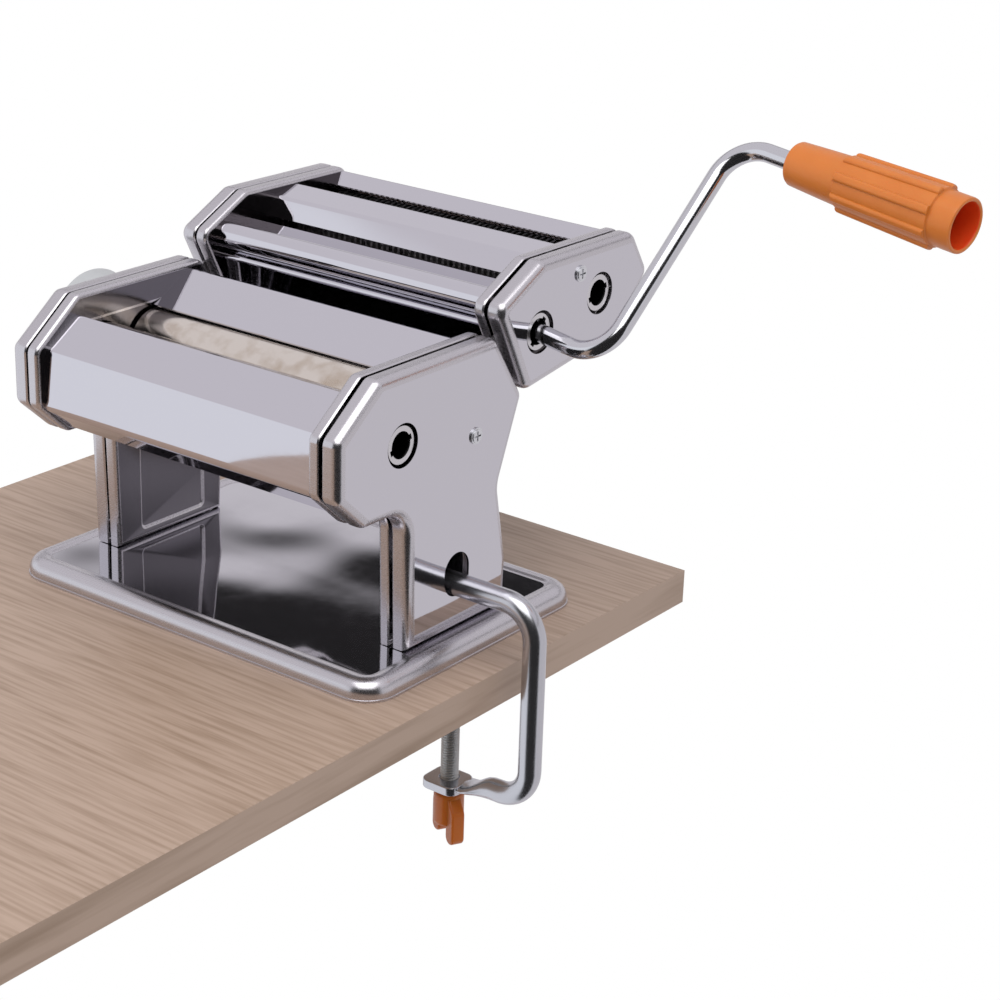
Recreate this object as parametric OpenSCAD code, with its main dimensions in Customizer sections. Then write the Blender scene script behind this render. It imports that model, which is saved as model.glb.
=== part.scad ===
// Hand-cranked pasta roller machine with a lift-off two-width cutter head,
// a crank with a free-turning grip and a table clamp.
// Millimetres. X runs along the rollers (crank side positive), Y runs front to
// back, Z is up. The origin is the middle of the underside of the base plate.

/* [Base] */
// Base plate width, left to right
base_w = 208; // [204:1:216]
// Base plate depth, front to back
base_d = 144; // [140:1:150]
// Height of the flat top of the base plate
base_top = 7.6; // [7:0.1:8]
// Radius of the raised bead round the base edge
bead_r = 6.3; // [6:0.1:6.6]

/* [Body] */
// Clear width between the two inner side frames
clear_w = 152; // [150:1:154]
// Depth of the inner side frame, face to flange edge
frame_depth = 6; // [5.5:0.1:6.5]
// Gap between the inner side frame and its outer cover
shell_gap = 1; // [0.9:0.05:1.2]
// Depth of the outer cover, flange edge to outer face
cover_depth = 9; // [9:0.1:9.5]
// Sheet thickness of the pressed parts
sheet = 1; // [0.9:0.05:1]
// Sheet thickness of the bent panels
panel_t = 0.8; // [0.7:0.05:0.9]

/* [Dough rollers] */
// Radius of the two smooth rollers
roller_r = 14.6; // [14.4:0.05:14.65]
// Gap between the smooth rollers at the thinnest setting
roller_gap = 0.6; // [0.6:0.1:0.7]
// How far the rear roller backs away at the thickest setting
roller_travel = 2.4; // [2:0.1:2.4]
// Diameter of the shaft ring round the crank hole
socket_od = 16; // [15:0.2:16.4]
// Diameter of the crank hole in a shaft ring
socket_bore = 11.6; // [11:0.1:12]

/* [Thickness knob] */
// Knob radius where it is widest
knob_r = 24.5; // [23:0.5:25]
// Knob length
knob_len = 25.5; // [25:0.5:26]
// Number of thickness settings
settings = 9; // [7:1:9]

/* [Cutter head] */
// Distance between the two shafts of the wide cutter
wide_pitch = 19.4; // [19.3:0.05:19.5]
// Distance between the two shafts of the narrow cutter
narrow_pitch = 19.6; // [19.5:0.05:19.7]
// Outer radius of the cutter rings
ring_r = 10.6; // [10.4:0.05:10.6]
// Width of one wide noodle
wide_noodle = 4.2; // [4:0.1:6.6]
// Width of one narrow noodle
narrow_noodle = 1.6; // [1.6:0.1:2.2]

/* [Crank] */
// Crank rod diameter
crank_d = 8; // [7.6:0.1:8.2]
// Straight length from the outer face of the head to the first bend
crank_root = 33.9; // [32:0.5:36]
// Crank arm length between the two bends
crank_arm = 108.5; // [104:0.5:112]
// Straight length from the second bend to the grip
crank_neck = 31; // [27:0.5:32]
// Grip length
grip_len = 84; // [82:0.5:90]

/* [Table clamp] */
// Clamp rod diameter
clamp_d = 10; // [9.6:0.1:10.2]
// Distance of the upright of the clamp rod from the machine centre
clamp_x = 133.5; // [131:0.5:136]
// Clamp screw diameter over the thread
screw_d = 8; // [7.8:0.1:8]
// Thickness of the table the clamp is set on
table_t = 16; // [14:0.5:18]

/* [Output] */
// Which sub-part to draw

/* [Hidden] */

$fn = 64;
eps = 0.05;

// planes across the machine, right-hand side
frame_x = clear_w / 2;
flange_x = frame_x + frame_depth;
cover_x = flange_x + shell_gap;
face_x = cover_x + cover_depth;

// roller axes, given as [y, z]
axis_z = 100.8;
front_axis = [-40, axis_z];
rear_axis = [-40 + 2 * roller_r + roller_gap, axis_z];
wide_front_axis = [49.8, 126.8];
wide_back_axis = [wide_front_axis[0] + wide_pitch, wide_front_axis[1]];
narrow_front_axis = [92.6, 134.4];
// how much higher than the front one the back narrow shaft stands, in degrees
narrow_tilt = 5;
narrow_back_axis = narrow_front_axis + narrow_pitch * [cos(narrow_tilt), sin(narrow_tilt)];
cover_screw_at = [7.3, 92.1];
// the left cover's screw stands further back, clear of the gears
left_screw_at = [14, 88];
cutter_screw_at = [77.6, 146.4];
clamp_hole_at = [-3, 33.3];
clamp_rod_z = 28.9;
clamp_y = -3;

// rounding of the pressed side shells
edge_round = 4.5;
leg_fillet = 11.5;

// steel and plastic colours
chrome = [0.78, 0.79, 0.82];
satin = [0.66, 0.66, 0.67];
dark_steel = [0.42, 0.42, 0.43];
zinc = [0.62, 0.64, 0.66];
orange = [0.88, 0.48, 0.16];
nylon = [0.88, 0.87, 0.82];

// ---- helpers ----------------------------------------------------------

// 2-D shape drawn in (y, z), given thickness from x0 to x1
module slab(x0, x1)
  rotate([90, 0, 90]) translate([0, 0, x0]) linear_extrude(x1 - x0) children();

// cylinder along X round the axis at = [y, z]
module rod_x(at, r, x0, x1)
  translate([x0, at[0], at[1]]) rotate([0, 90, 0]) cylinder(r = r, h = x1 - x0);

module softened(convex, concave)
  offset(r = convex, $fn = 24) offset(delta = -convex)
    offset(r = -concave, $fn = 32) offset(delta = concave) children();

// bent sheet of constant thickness following a list of [y, z] points
module bent_strip(path, t)
  for (i = [0 : len(path) - 2]) {
    d = path[i + 1] - path[i];
    translate(path[i]) rotate(atan2(d[1], d[0])) {
      translate([0, -t / 2]) square([norm(d), t]);
      circle(d = t, $fn = 16);
      translate([norm(d), 0]) circle(d = t, $fn = 16);
    }
  }

module left_side() mirror([1, 0, 0]) children();

function unit(v) = v / norm(v);

// matrix that stands local x, y, z on the given directions at the point p
function frame_at(p, x, y, z) = [
  [x[0], y[0], z[0], p[0]],
  [x[1], y[1], z[1], p[1]],
  [x[2], y[2], z[2], p[2]],
  [0, 0, 0, 1]];

// any unit direction square to v
function square_to(v) = unit(cross(v, abs(v[2]) < 0.8 ? [0, 0, 1] : [0, 1, 0]));

// straight round bar from p to q
module bar(p, q, r) {
  z = unit(q - p);
  x = square_to(z);
  multmatrix(frame_at(p, x, cross(z, x), z)) cylinder(r = r, h = norm(q - p));
}

// round bar through the points, bent to radius bend at each inner point
module bent_bar(pts, bend, r) {
  n = len(pts);
  cut = [for (i = [0 : n - 1]) (i == 0 || i == n - 1) ? 0
    : bend * tan(acos(unit(pts[i] - pts[i - 1]) * unit(pts[i + 1] - pts[i])) / 2)];
  for (i = [0 : n - 2]) {
    u = unit(pts[i + 1] - pts[i]);
    bar(pts[i] + u * cut[i], pts[i + 1] - u * cut[i + 1], r);
  }
  for (i = [1 : n - 2]) {
    u = unit(pts[i] - pts[i - 1]);
    v = unit(pts[i + 1] - pts[i]);
    start = pts[i] - u * cut[i];
    inward = unit(v - u * (u * v));
    centre = start + inward * bend;
    multmatrix(frame_at(centre, -inward, u, cross(-inward, u)))
      rotate_extrude(angle = acos(u * v)) translate([bend, 0]) circle(r = r);
  }
}

// spur gear outline with straight tapering teeth
module gear_2d(teeth, root_r, tip_r, root_w, tip_w)
  union() {
    circle(r = root_r + eps);
    for (i = [0 : teeth - 1]) rotate(i * 360 / teeth)
      polygon([[root_r - 1, -root_w / 2], [root_r, -root_w / 2],
        [tip_r, -tip_w / 2], [tip_r, tip_w / 2],
        [root_r, root_w / 2], [root_r - 1, root_w / 2]]);
  }

// screw with a low domed head and a cross recess, facing +X
module cross_screw(at, x_face, head_r, shank_r, shank_len) {
  difference() {
    union() {
      rod_x(at, head_r, x_face, x_face + 0.7);
      rod_x(at, head_r - 0.8, x_face + 0.6, x_face + 1.1);
      rod_x(at, shank_r, x_face - shank_len, x_face + eps);
    }
    for (turn = [0, 90]) translate([x_face + 0.3, at[0], at[1]])
      rotate([turn, 0, 0]) translate([0, -0.4, -head_r * 0.6])
        cube([2, 0.8, head_r * 1.2]);
  }
}

// angle of the two key slots in the empty crank holes
key_turn = 20;

// ring with a keyed hole that takes the crank, from x0 to x1
module keyed_ring(at, x0, x1, bore_x, turn)
  difference() {
    rod_x(at, socket_od / 2, x0, x1);
    rod_x(at, socket_bore / 2, bore_x, x1 + eps);
    translate([bore_x, at[0], at[1]]) rotate([turn, 0, 0])
      translate([0, -socket_bore / 2 - 1, -1.3]) cube([x1 - bore_x + 1, socket_bore + 2, 2.6]);
  }

// ---- base -------------------------------------------------------------

module base_outline(inset, r)
  for (sx = [-1, 1]) for (sy = [-1, 1])
    translate([sx * (base_w / 2 - inset - r), sy * (base_d / 2 - inset - r)]) circle(r = r);

corner_r = 15;
bead_z = 2.4;

module base_plate_solid(inset, z0, z1) {
  r = corner_r - inset;
  translate([0, 0, z0]) linear_extrude(z1 - z0) union() {
    square([base_w - 2 * inset, base_d - 2 * corner_r], center = true);
    square([base_w - 2 * corner_r, base_d - 2 * inset], center = true);
    base_outline(inset, r);
  }
}

module bead(r) {
  c = corner_r - bead_r;
  for (sy = [-1, 1]) translate([-(base_w / 2 - corner_r), sy * (base_d / 2 - bead_r), bead_z])
    rotate([0, 90, 0]) cylinder(r = r, h = base_w - 2 * corner_r);
  for (sx = [-1, 1]) translate([sx * (base_w / 2 - bead_r), base_d / 2 - corner_r, bead_z])
    rotate([90, 0, 0]) cylinder(r = r, h = base_d - 2 * corner_r);
  for (q = [[1, 1, 0], [-1, 1, 90], [-1, -1, 180], [1, -1, 270]])
    translate([q[0] * (base_w / 2 - corner_r), q[1] * (base_d / 2 - corner_r), bead_z])
      rotate([0, 0, q[2]]) rotate_extrude(angle = 90) translate([c, 0]) circle(r = r, $fn = 48);
}

module base()
  color(chrome) difference() {
    union() {
      base_plate_solid(0, 0, bead_z);
      base_plate_solid(bead_r, bead_z - eps, base_top);
      bead(bead_r);
    }
    base_plate_solid(sheet, -eps, bead_z - eps);
    base_plate_solid(bead_r + 0.5, bead_z - 2 * eps, base_top - sheet);
    bead(bead_r - sheet);
    translate([0, 0, -20]) cube([base_w + 2, base_d + 2, 40], center = true);
    for (sx = [-1, 1]) for (y = foot_screw_y)
      translate([sx * foot_screw_x, y, 0]) cylinder(d = 4.4, h = 20);
  }

foot_screw_x = flange_x - 2.6;
foot_screw_y = [-24, 22];

// ---- body side shells -------------------------------------------------

module body_profile()
  softened(edge_round, leg_fillet)
    polygon([[21, 131], [-54, 131], [-79, 111.5], [-79, 86.5], [-62, 71],
      [-36, 71], [-34.5, 10], [-34.5, -12], [31, -12], [32.5, 30],
      [25.5, 65], [40, 102]]);

// side outline shrunk by inset, standing on the height floor_z
module body_side(inset, floor_z)
  intersection() {
    offset(delta = -inset) body_profile();
    translate([-120, floor_z]) square([240, 200]);
  }

// shallow pressed pan: rim from x_rim to the flat face at x_face
module pan(x_rim, x_face, foot_z, t)
  difference() {
    union() {
      slab(x_rim, x_face - 2.6) children(0);
      slab(x_face - 2.65, x_face - 1.4) offset(delta = -0.5) children(0);
      slab(x_face - 1.45, x_face - 0.6) offset(delta = -1.3) children(0);
      slab(x_face - 0.65, x_face) offset(delta = -2.4) children(0);
    }
    slab(x_rim - eps, x_face - 2.6) offset(delta = -t) children(0);
    slab(x_face - 2.65, x_face - t) offset(delta = -t - 1.3) children(0);
  }

module inner_frame(screw_at)
  difference() {
    union() {
      slab(frame_x, frame_x + sheet) body_side(0.8, base_top);
      difference() {
        slab(frame_x + 0.4, flange_x) body_side(0, base_top);
        slab(frame_x, flange_x + eps) body_side(sheet, base_top + sheet);
      }
    }
    rod_x(screw_at, 1.6, frame_x - eps, flange_x);
    for (t = tie_at) rod_x(t, 2.1, frame_x - eps, flange_x);
    for (y = foot_screw_y)
      translate([foot_screw_x, y, base_top - eps]) cylinder(d = 3.4, h = 3);
  }

tie_at = [[-64, 96], [24, 96], [-2, 58]];

module clamp_slot(x0, x1)
  slab(x0, x1) translate(clamp_hole_at) {
    for (s = [-1, 1]) translate([0, 1.6 * s]) circle(r = 8.2);
    square([16.4, 3.2], center = true);
  }

module inner_frame_right()
  color(satin) difference() {
    inner_frame(cover_screw_at);
    rod_x(front_axis, 9, frame_x - 1, flange_x);
    slab(frame_x - 1, flange_x) translate(rear_axis) {
      circle(r = 4.2);
      translate([roller_travel, 0]) circle(r = 4.2);
      translate([roller_travel / 2, 0]) square([roller_travel, 8.4], center = true);
    }
    clamp_slot(frame_x - 1, flange_x);
  }

module inner_frame_left()
  color(satin) left_side() difference() {
    inner_frame(left_screw_at);
    rod_x(front_axis, 9, frame_x - 1, flange_x);
    slab(frame_x - 1, flange_x) translate(rear_axis) {
      circle(r = 8);
      translate([roller_travel, 0]) circle(r = 8);
      translate([roller_travel / 2, 0]) square([roller_travel, 16], center = true);
    }
  }

module side_cover(screw_at)
  difference() {
    pan(cover_x, face_x, base_top, sheet) body_side(0, base_top);
    slab(cover_x - eps, face_x - sheet) body_side(4, base_top + sheet);
    rod_x(screw_at, 1.9, face_x - 2, face_x + 1);
  }

module cover_right()
  color(chrome) difference() {
    side_cover(cover_screw_at);
    rod_x(front_axis, 9.4, face_x - 3, face_x + 1);
    clamp_slot(face_x - 4, face_x + 1);
  }

// the index holes of the thickness settings
function index_at(i) = rear_axis + 15 * [cos(20 * i), sin(20 * i)];

module cover_left()
  color(chrome) left_side() difference() {
    side_cover(left_screw_at);
    rod_x(rear_axis, 6.2, face_x - 3, face_x + 1);
    for (i = [0 : settings - 1]) rod_x(index_at(i), 1.6, face_x - 3, face_x + 1);
  }

module cover_spacer(at)
  difference() {
    rod_x(at, 4, frame_x + sheet, face_x - sheet);
    rod_x(at, 1.65, frame_x, face_x);
  }

module cover_spacers()
  color(zinc) {
    cover_spacer(cover_screw_at);
    left_side() cover_spacer(left_screw_at);
  }

module cover_screw(at) cross_screw(at, face_x, 3.6, 1.5, face_x - frame_x - 0.3);

module cover_screws()
  color(zinc) {
    cover_screw(cover_screw_at);
    left_side() cover_screw(left_screw_at);
  }

module foot_screws()
  color(zinc) for (sx = [-1, 1]) for (y = foot_screw_y)
    translate([sx * foot_screw_x, y, base_top - sheet - 2]) {
      cylinder(d = 7, h = 2);
      cylinder(d = 3.2, h = 6);
    }

module tie_rods()
  color(zinc) for (at = tie_at) {
    rod_x(at, 3, -frame_x, frame_x);
    rod_x(at, 2, -frame_x - 4, frame_x + 4);
    for (sx = [-1, 1]) translate([sx * (frame_x + sheet + 1.5), at[0], at[1]])
      rotate([0, 90, 0]) cylinder(r = 4, h = 3, center = true, $fn = 6);
  }

// ---- body panels ------------------------------------------------------

module front_panel()
  color(chrome) slab(-frame_x, frame_x) bent_strip([[-57.4, 120.2], [-55.2, 123.6],
    [-73.4, 110.6], [-75.2, 85.4], [-62.5, 74.6]], panel_t);

module rear_panel()
  color(chrome) slab(-frame_x, frame_x) bent_strip([[-9.2, 116.4], [15.2, 128.1],
    [34.6, 101], [23.2, 72]], panel_t);

module scraper(at, turn)
  slab(-frame_x, frame_x) translate(at) rotate(turn) {
    translate([0, -0.3]) square([12, 0.6]);
    translate([11.4, -0.3]) square([0.6, 5]);
  }

module front_scraper() color(satin) scraper([-45.4, 85.2], -118);

module rear_scraper() color(satin) scraper([-2, 84.7], -62);

module roller_bushes()
  color(nylon) for (s = [0, 1]) mirror([s, 0, 0]) difference() {
    union() {
      rod_x(front_axis, 9, frame_x, frame_x + 2.2);
      rod_x(front_axis, 10.5, frame_x + sheet, frame_x + 2.2);
    }
    rod_x(front_axis, 5.05, frame_x - 1, frame_x + 3);
  }

// ---- smooth rollers ---------------------------------------------------

roller_half = frame_x - 0.6;

module front_roller()
  color(satin) {
    rod_x(front_axis, roller_r, -roller_half, roller_half);
    rod_x(front_axis, 5, -frame_x - 11.5, frame_x + 6);
  }

module drive_socket()
  color(satin) difference() {
    union() {
      keyed_ring(front_axis, frame_x + 4, face_x - 1, frame_x + 7, key_turn);
      rod_x(front_axis, socket_od / 2, frame_x + 2.6, frame_x + 4.2);
    }
    rod_x(front_axis, 5, frame_x, frame_x + 6);
  }

big_gear = [11, 11.8, 17.4, 4.8, 1.5];

module big_gear_at(at, turn, bore)
  slab(-frame_x - 10, -frame_x - 3) translate(at) difference() {
    rotate(turn) gear_2d(big_gear[0], big_gear[1], big_gear[2], big_gear[3], big_gear[4]);
    circle(r = bore);
  }

module front_gear() color(dark_steel) big_gear_at(front_axis, 0, 5);

module rear_gear() color(dark_steel) big_gear_at(rear_axis, 0, 6.5);

module rear_axle()
  color(zinc) {
    rod_x(rear_axis, 3, -frame_x - 12.2, frame_x + 5.4);
    rod_x(rear_axis, 2, -frame_x - 13.6, -frame_x - 12);
  }

module rear_roller()
  color(satin) difference() {
    union() {
      rod_x(rear_axis, roller_r, -roller_half, roller_half);
      rod_x(rear_axis, 6.5, -frame_x - 11, -roller_half + 1);
    }
    rod_x(rear_axis, 3.06, -frame_x - 12, frame_x);
  }

// ---- thickness knob ---------------------------------------------------

// outer side of the flange that turns behind the left cover
cam_x = -face_x + sheet + 0.3;
// angle between the first and the last thickness setting
cam_turn = 20 * (settings - 1);
spindle_end = -face_x - 22.6;
knob_x = -face_x - 2;
knob_end = knob_x - knob_len;
// the web inside the knob that rides on the spindle
web_x = knob_x - 10;

module adjust_cam()
  color(zinc) difference() {
    union() {
      rod_x(rear_axis, 8.5, cam_x, cam_x + 2.4);
      rod_x(rear_axis, 5.8, cam_x - 2.2, cam_x + eps);
      rod_x(rear_axis, 4, spindle_end, cam_x);
    }
    for (i = [0 : 8]) rod_x(rear_axis + roller_travel * i / 8
      * [cos(-cam_turn * i / 8), sin(-cam_turn * i / 8)], 2.3, cam_x + 0.6, cam_x + 3);
    rod_x(rear_axis, 1.4, spindle_end - 1, spindle_end + 10);
  }

// knob outline as [radius, distance from its inner face]: it widens outwards
// and is rounded over at the end
knob_rim = 19.5;
// angle at which the mark of the present setting is read, just before the top
reading_angle = 98.5;
knob_outline = concat([[0, 0], [knob_r - 4, 0], [knob_r - 3.2, 0.8]],
  [for (i = [0 : 5]) [knob_r - 3 + 3 * cos(15 * i), knob_rim + 3 * sin(15 * i)]],
  [[knob_r - 3, knob_rim + 3], [knob_r - 6, knob_len], [0, knob_len]]);

module knob()
  color([0.72, 0.73, 0.74]) difference() {
    union() {
      rod_x(index_at(0), 1.3, knob_x - 2, -face_x - 0.4);
      translate([knob_x, rear_axis[0], rear_axis[1]]) rotate([0, -90, 0])
        rotate_extrude() polygon(knob_outline);
    }
    // one dimple for each thickness setting
    for (i = [0 : settings - 1]) translate([knob_x - 11, rear_axis[0], rear_axis[1]])
      rotate([reading_angle - 20 * i, 0, 0]) translate([0, knob_r - 2, 0])
        rotate([-90, 0, 0]) cylinder(r = 0.9, h = 4, $fn = 24);
    rod_x(rear_axis, 4.06, knob_end - 1, knob_x + 1);
    rod_x(rear_axis, 9, web_x + 4, knob_x + 1);
    rod_x(rear_axis, 9, knob_end - 1, web_x);
  }

module knob_spring()
  color(zinc) for (i = [0 : 4])
    translate([web_x - 0.8 - 2.25 * i, rear_axis[0], rear_axis[1]])
      rotate([0, 90, 0]) rotate_extrude() translate([6, 0]) circle(r = 0.6, $fn = 16);

module knob_screw()
  color(zinc) {
    rod_x(rear_axis, 7.4, spindle_end - 1.6, spindle_end);
    rod_x(rear_axis, 1.35, spindle_end - 1, spindle_end + 9);
  }

// ---- cutter head shells ----------------------------------------------

module cutter_profile()
  softened(5.5, 3)
    polygon([[21.6, 141.9], [51, 156.8], [118.5, 156.3], [131.2, 136.4],
      [105.6, 111], [42, 101.8]]);

module cutter_side(inset) offset(delta = -inset) cutter_profile();

module cutter_holes(x0, x1) {
  for (at = [wide_front_axis, wide_back_axis, narrow_front_axis, narrow_back_axis])
    rod_x(at, 6, x0, x1);
  rod_x(cutter_screw_at, 1.6, x0, x1);
}

module cutter_frame()
  difference() {
    union() {
      slab(frame_x, frame_x + sheet) cutter_side(0.8);
      difference() {
        slab(frame_x + 0.4, flange_x) cutter_side(0);
        slab(frame_x, flange_x + eps) cutter_side(sheet);
      }
    }
    cutter_holes(frame_x - eps, flange_x);
  }

module cutter_frame_right() color(satin) cutter_frame();

module cutter_frame_left() color(satin) left_side() cutter_frame();

module cutter_cover()
  difference() {
    pan(cover_x, face_x, 0, sheet) cutter_side(0);
    slab(cover_x - eps, face_x - sheet) cutter_side(4);
    rod_x(cutter_screw_at, 1.9, face_x - 2, face_x + 1);
  }

module cutter_cover_right()
  color(chrome) difference() {
    cutter_cover();
    rod_x(wide_front_axis, 9.4, face_x - 3, face_x + 1);
    rod_x(narrow_front_axis, 9.4, face_x - 3, face_x + 1);
  }

module cutter_cover_left() color(chrome) left_side() cutter_cover();

module cutter_spacers()
  color(zinc) for (s = [0, 1]) mirror([s, 0, 0]) difference() {
    rod_x(cutter_screw_at, 3.4, frame_x + sheet, face_x - sheet);
    rod_x(cutter_screw_at, 1.65, frame_x, face_x);
  }

module cutter_screws()
  color(zinc) for (s = [0, 1]) mirror([s, 0, 0])
    cross_screw(cutter_screw_at, face_x, 3.6, 1.5, face_x - frame_x - 0.3);

module cutter_bushes()
  color(nylon) for (s = [0, 1]) mirror([s, 0, 0])
    for (at = [wide_front_axis, wide_back_axis, narrow_front_axis, narrow_back_axis])
      difference() {
        union() {
          rod_x(at, 6, frame_x, frame_x + 2);
          rod_x(at, 7.4, frame_x + sheet, frame_x + 2);
        }
        rod_x(at, 4.05, frame_x - 1, frame_x + 3);
      }

// direction in which the head lifts off, along the sloping back of the body
slide_dir = unit([-19, 29]);

module tongue_outline()
  translate([40, 102]) rotate(atan2(slide_dir[1], slide_dir[0]))
    translate([3, -10]) square([24, 15]);

// flat tongues held between the head's two shells; their thinner ends slide
// down into the slits between the shells of the body
module cutter_tongues()
  color(satin) for (s = [0, 1]) mirror([s, 0, 0]) {
    slab(flange_x, cover_x) intersection() {
      tongue_outline();
      cutter_profile();
    }
    slab(flange_x + 0.15, cover_x - 0.15) tongue_outline();
  }

// ---- cutter head panels ----------------------------------------------

module cutter_rear_panel()
  color(chrome) slab(-frame_x, frame_x) bent_strip([[109.6, 149.4], [117.6, 154.6],
    [128.4, 136.8], [122.2, 130.4]], panel_t);

module cutter_centre_panel()
  color(chrome) slab(-frame_x, frame_x) bent_strip([[85.6, 148.4], [85.2, 154.1],
    [69.6, 151.3], [65.1, 142.8]], panel_t);

module cutter_nose_panel()
  color(chrome) slab(-frame_x, frame_x) union() {
    bent_strip([[54, 138.6], [54, 143.2], [36.4, 145.1]], panel_t);
    difference() {
      translate([37.2, 139.4]) circle(r = 6.1);
      translate([37.2, 139.4]) circle(r = 6.1 - panel_t);
      translate([37.2, 120]) square([20, 40]);
    }
    bent_strip([[37.2, 133.7], [39, 133.7]], panel_t);
  }

module cutter_lower_panel()
  color(chrome) slab(-frame_x, frame_x) bent_strip([[36.9, 131.9], [31.6, 127.4],
    [43, 104.9], [47.5, 105.5]], panel_t);

// ---- cutter rollers ---------------------------------------------------

core_r = 8.4;

// stack of rings along X: even = 1 starts with a ring, 0 starts with a groove
module ring_roller(at, core, noodle, even) {
  pitch = 2 * noodle;
  count = floor((clear_w - 4) / pitch);
  start = -count * pitch / 2;
  rod_x(at, core, -roller_half, roller_half);
  for (i = [0 : count - 1])
    rod_x(at, ring_r, start + i * pitch + (even == 1 ? 0 : noodle) + 0.18,
      start + i * pitch + (even == 1 ? 0 : noodle) + noodle - 0.18);
  rod_x(at, 4, -frame_x - 10.5, frame_x + 5.5);
}

module wide_cutter_front() color(satin) ring_roller(wide_front_axis, core_r, wide_noodle, 1);

module wide_cutter_back() color(satin) ring_roller(wide_back_axis, core_r, wide_noodle, 0);

module narrow_cutter_front()
  color(satin) ring_roller(narrow_front_axis, core_r, narrow_noodle, 1);

module narrow_cutter_back()
  color(satin) ring_roller(narrow_back_axis, core_r, narrow_noodle, 0);

small_gear = [10, 7.7, 11.3, 3.1, 1];

module small_gear_at(at, turn)
  slab(-frame_x - 9, -frame_x - 3) translate(at) difference() {
    rotate(turn)
      gear_2d(small_gear[0], small_gear[1], small_gear[2], small_gear[3], small_gear[4]);
    circle(r = 4);
  }

module wide_gear_front() color(dark_steel) small_gear_at(wide_front_axis, 0);

module wide_gear_back() color(dark_steel) small_gear_at(wide_back_axis, 18);

module narrow_gear_front() color(dark_steel) small_gear_at(narrow_front_axis, narrow_tilt);

module narrow_gear_back() color(dark_steel) small_gear_at(narrow_back_axis, 18 + narrow_tilt);

module cutter_socket(at, turn)
  difference() {
    union() {
      keyed_ring(at, frame_x + 4, face_x - 1, frame_x + 6.5, turn);
      rod_x(at, socket_od / 2, frame_x + 2.6, frame_x + 4.2);
    }
    rod_x(at, 4, frame_x, frame_x + 5.5);
  }

module wide_socket()
  color(satin) cutter_socket(wide_front_axis, atan2(arm_dir[2], arm_dir[1]));

module narrow_socket() color(satin) cutter_socket(narrow_front_axis, key_turn);

// comb: a strip across the head with one tooth in each groove of a roller
module comb(at, turn, noodle, even, tooth) {
  pitch = 2 * noodle;
  count = floor((clear_w - 4) / pitch);
  start = -count * pitch / 2;
  slab(-frame_x, frame_x) translate(at) rotate(turn) square([6, 0.8]);
  for (i = [0 : count - 1])
    slab(start + i * pitch + (even == 1 ? noodle : 0) + 0.25,
      start + i * pitch + (even == 1 ? noodle : 0) + noodle - 0.25)
      translate(at) rotate(turn) translate([-tooth, 0]) square([tooth + 1, 0.8]);
}

module wide_comb() {
  color(satin) comb([45.2, 114.4], -100, wide_noodle, 1, 3.2);
  color(satin) comb([73.4, 114.6], -80, wide_noodle, 0, 3.2);
}

module narrow_comb() {
  color(satin) comb([88.4, 122.2], -100, narrow_noodle, 1, 3.2);
  color(satin) comb([110.5, 123.7], -95, narrow_noodle, 0, 3.2);
}

// ---- crank ------------------------------------------------------------

// the rod leans a little in its loose socket: direction of the socket end and
// the grip end, and of the arm between them
lean = unit([0.987, -0.121, -0.102]);
arm_toward = [0.156, 0.624, 0.765];
arm_dir = unit(arm_toward - lean * (arm_toward * lean));
crank_bend_1 = [face_x + 1, wide_front_axis[0], wide_front_axis[1] - 0.5]
  + lean * crank_root;
grip_from = crank_bend_1 + arm_dir * crank_arm + lean * crank_neck;
// how far the rod reaches into the socket and into the grip
rod_in_socket = 9.6;
rod_in_grip = 25.5;

// local x along the two ends of the rod, local y along the arm
module crank_rod()
  color(chrome) multmatrix(frame_at(crank_bend_1, lean, arm_dir, cross(lean, arm_dir)))
    union() {
      bent_bar([[-crank_root - rod_in_socket, 0, 0], [0, 0, 0], [0, crank_arm, 0],
        [crank_neck + rod_in_grip, crank_arm, 0]], 17, crank_d / 2);
      translate([-crank_root - 7.1, 0, 0]) cube([3, socket_bore - 0.6, 1.2], center = true);
    }

// depth of solid plastic at the inner end of the grip
grip_wall = 22;
// raised ribs along the grip: their number, width and turn in degrees
ribs = 8;
rib_width = 15;
rib_phase = 22;

// local z along the grip axis, from the inner end of the grip
module on_grip() {
  z = lean;
  x = square_to(z);
  multmatrix(frame_at(grip_from, x, cross(z, x), z)) children();
}

module grip()
  color(orange) on_grip() difference() {
    union() {
      rotate_extrude() polygon([[0, 0], [8.4, 0], [9.4, 1], [10.6, 26],
        [11.6, grip_len - 1], [11.1, grip_len], [0, grip_len]]);
      for (i = [0 : ribs - 1])
        rotate([0, 0, rib_phase - rib_width / 2 + i * 360 / ribs]) rotate_extrude(angle = rib_width)
          polygon([[9, 26.5], [12.6, 26.5], [13.7, grip_len - 11], [11, grip_len - 11]]);
    }
    translate([0, 0, -1]) cylinder(r = crank_d / 2 + 0.35, h = 30);
    translate([0, 0, grip_wall]) cylinder(r = 9.6, h = grip_len);
  }

module grip_washer()
  color(zinc) on_grip() difference() {
    translate([0, 0, grip_wall + 0.5]) cylinder(r = 8, h = 1.6);
    translate([0, 0, grip_wall]) cylinder(r = crank_d / 2, h = 3);
  }

// ---- table clamp ------------------------------------------------------

// height of the rod's lower leg
eye_z = -60;
screw_x = 91;
// the rod's end is forged into a flat plate with the screw's hole
eye_top = -62;
eye_t = 4.2;
eye_corner = 4.5;
eye_x = [82, 100.5];
eye_y = [-13, 4];

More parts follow.
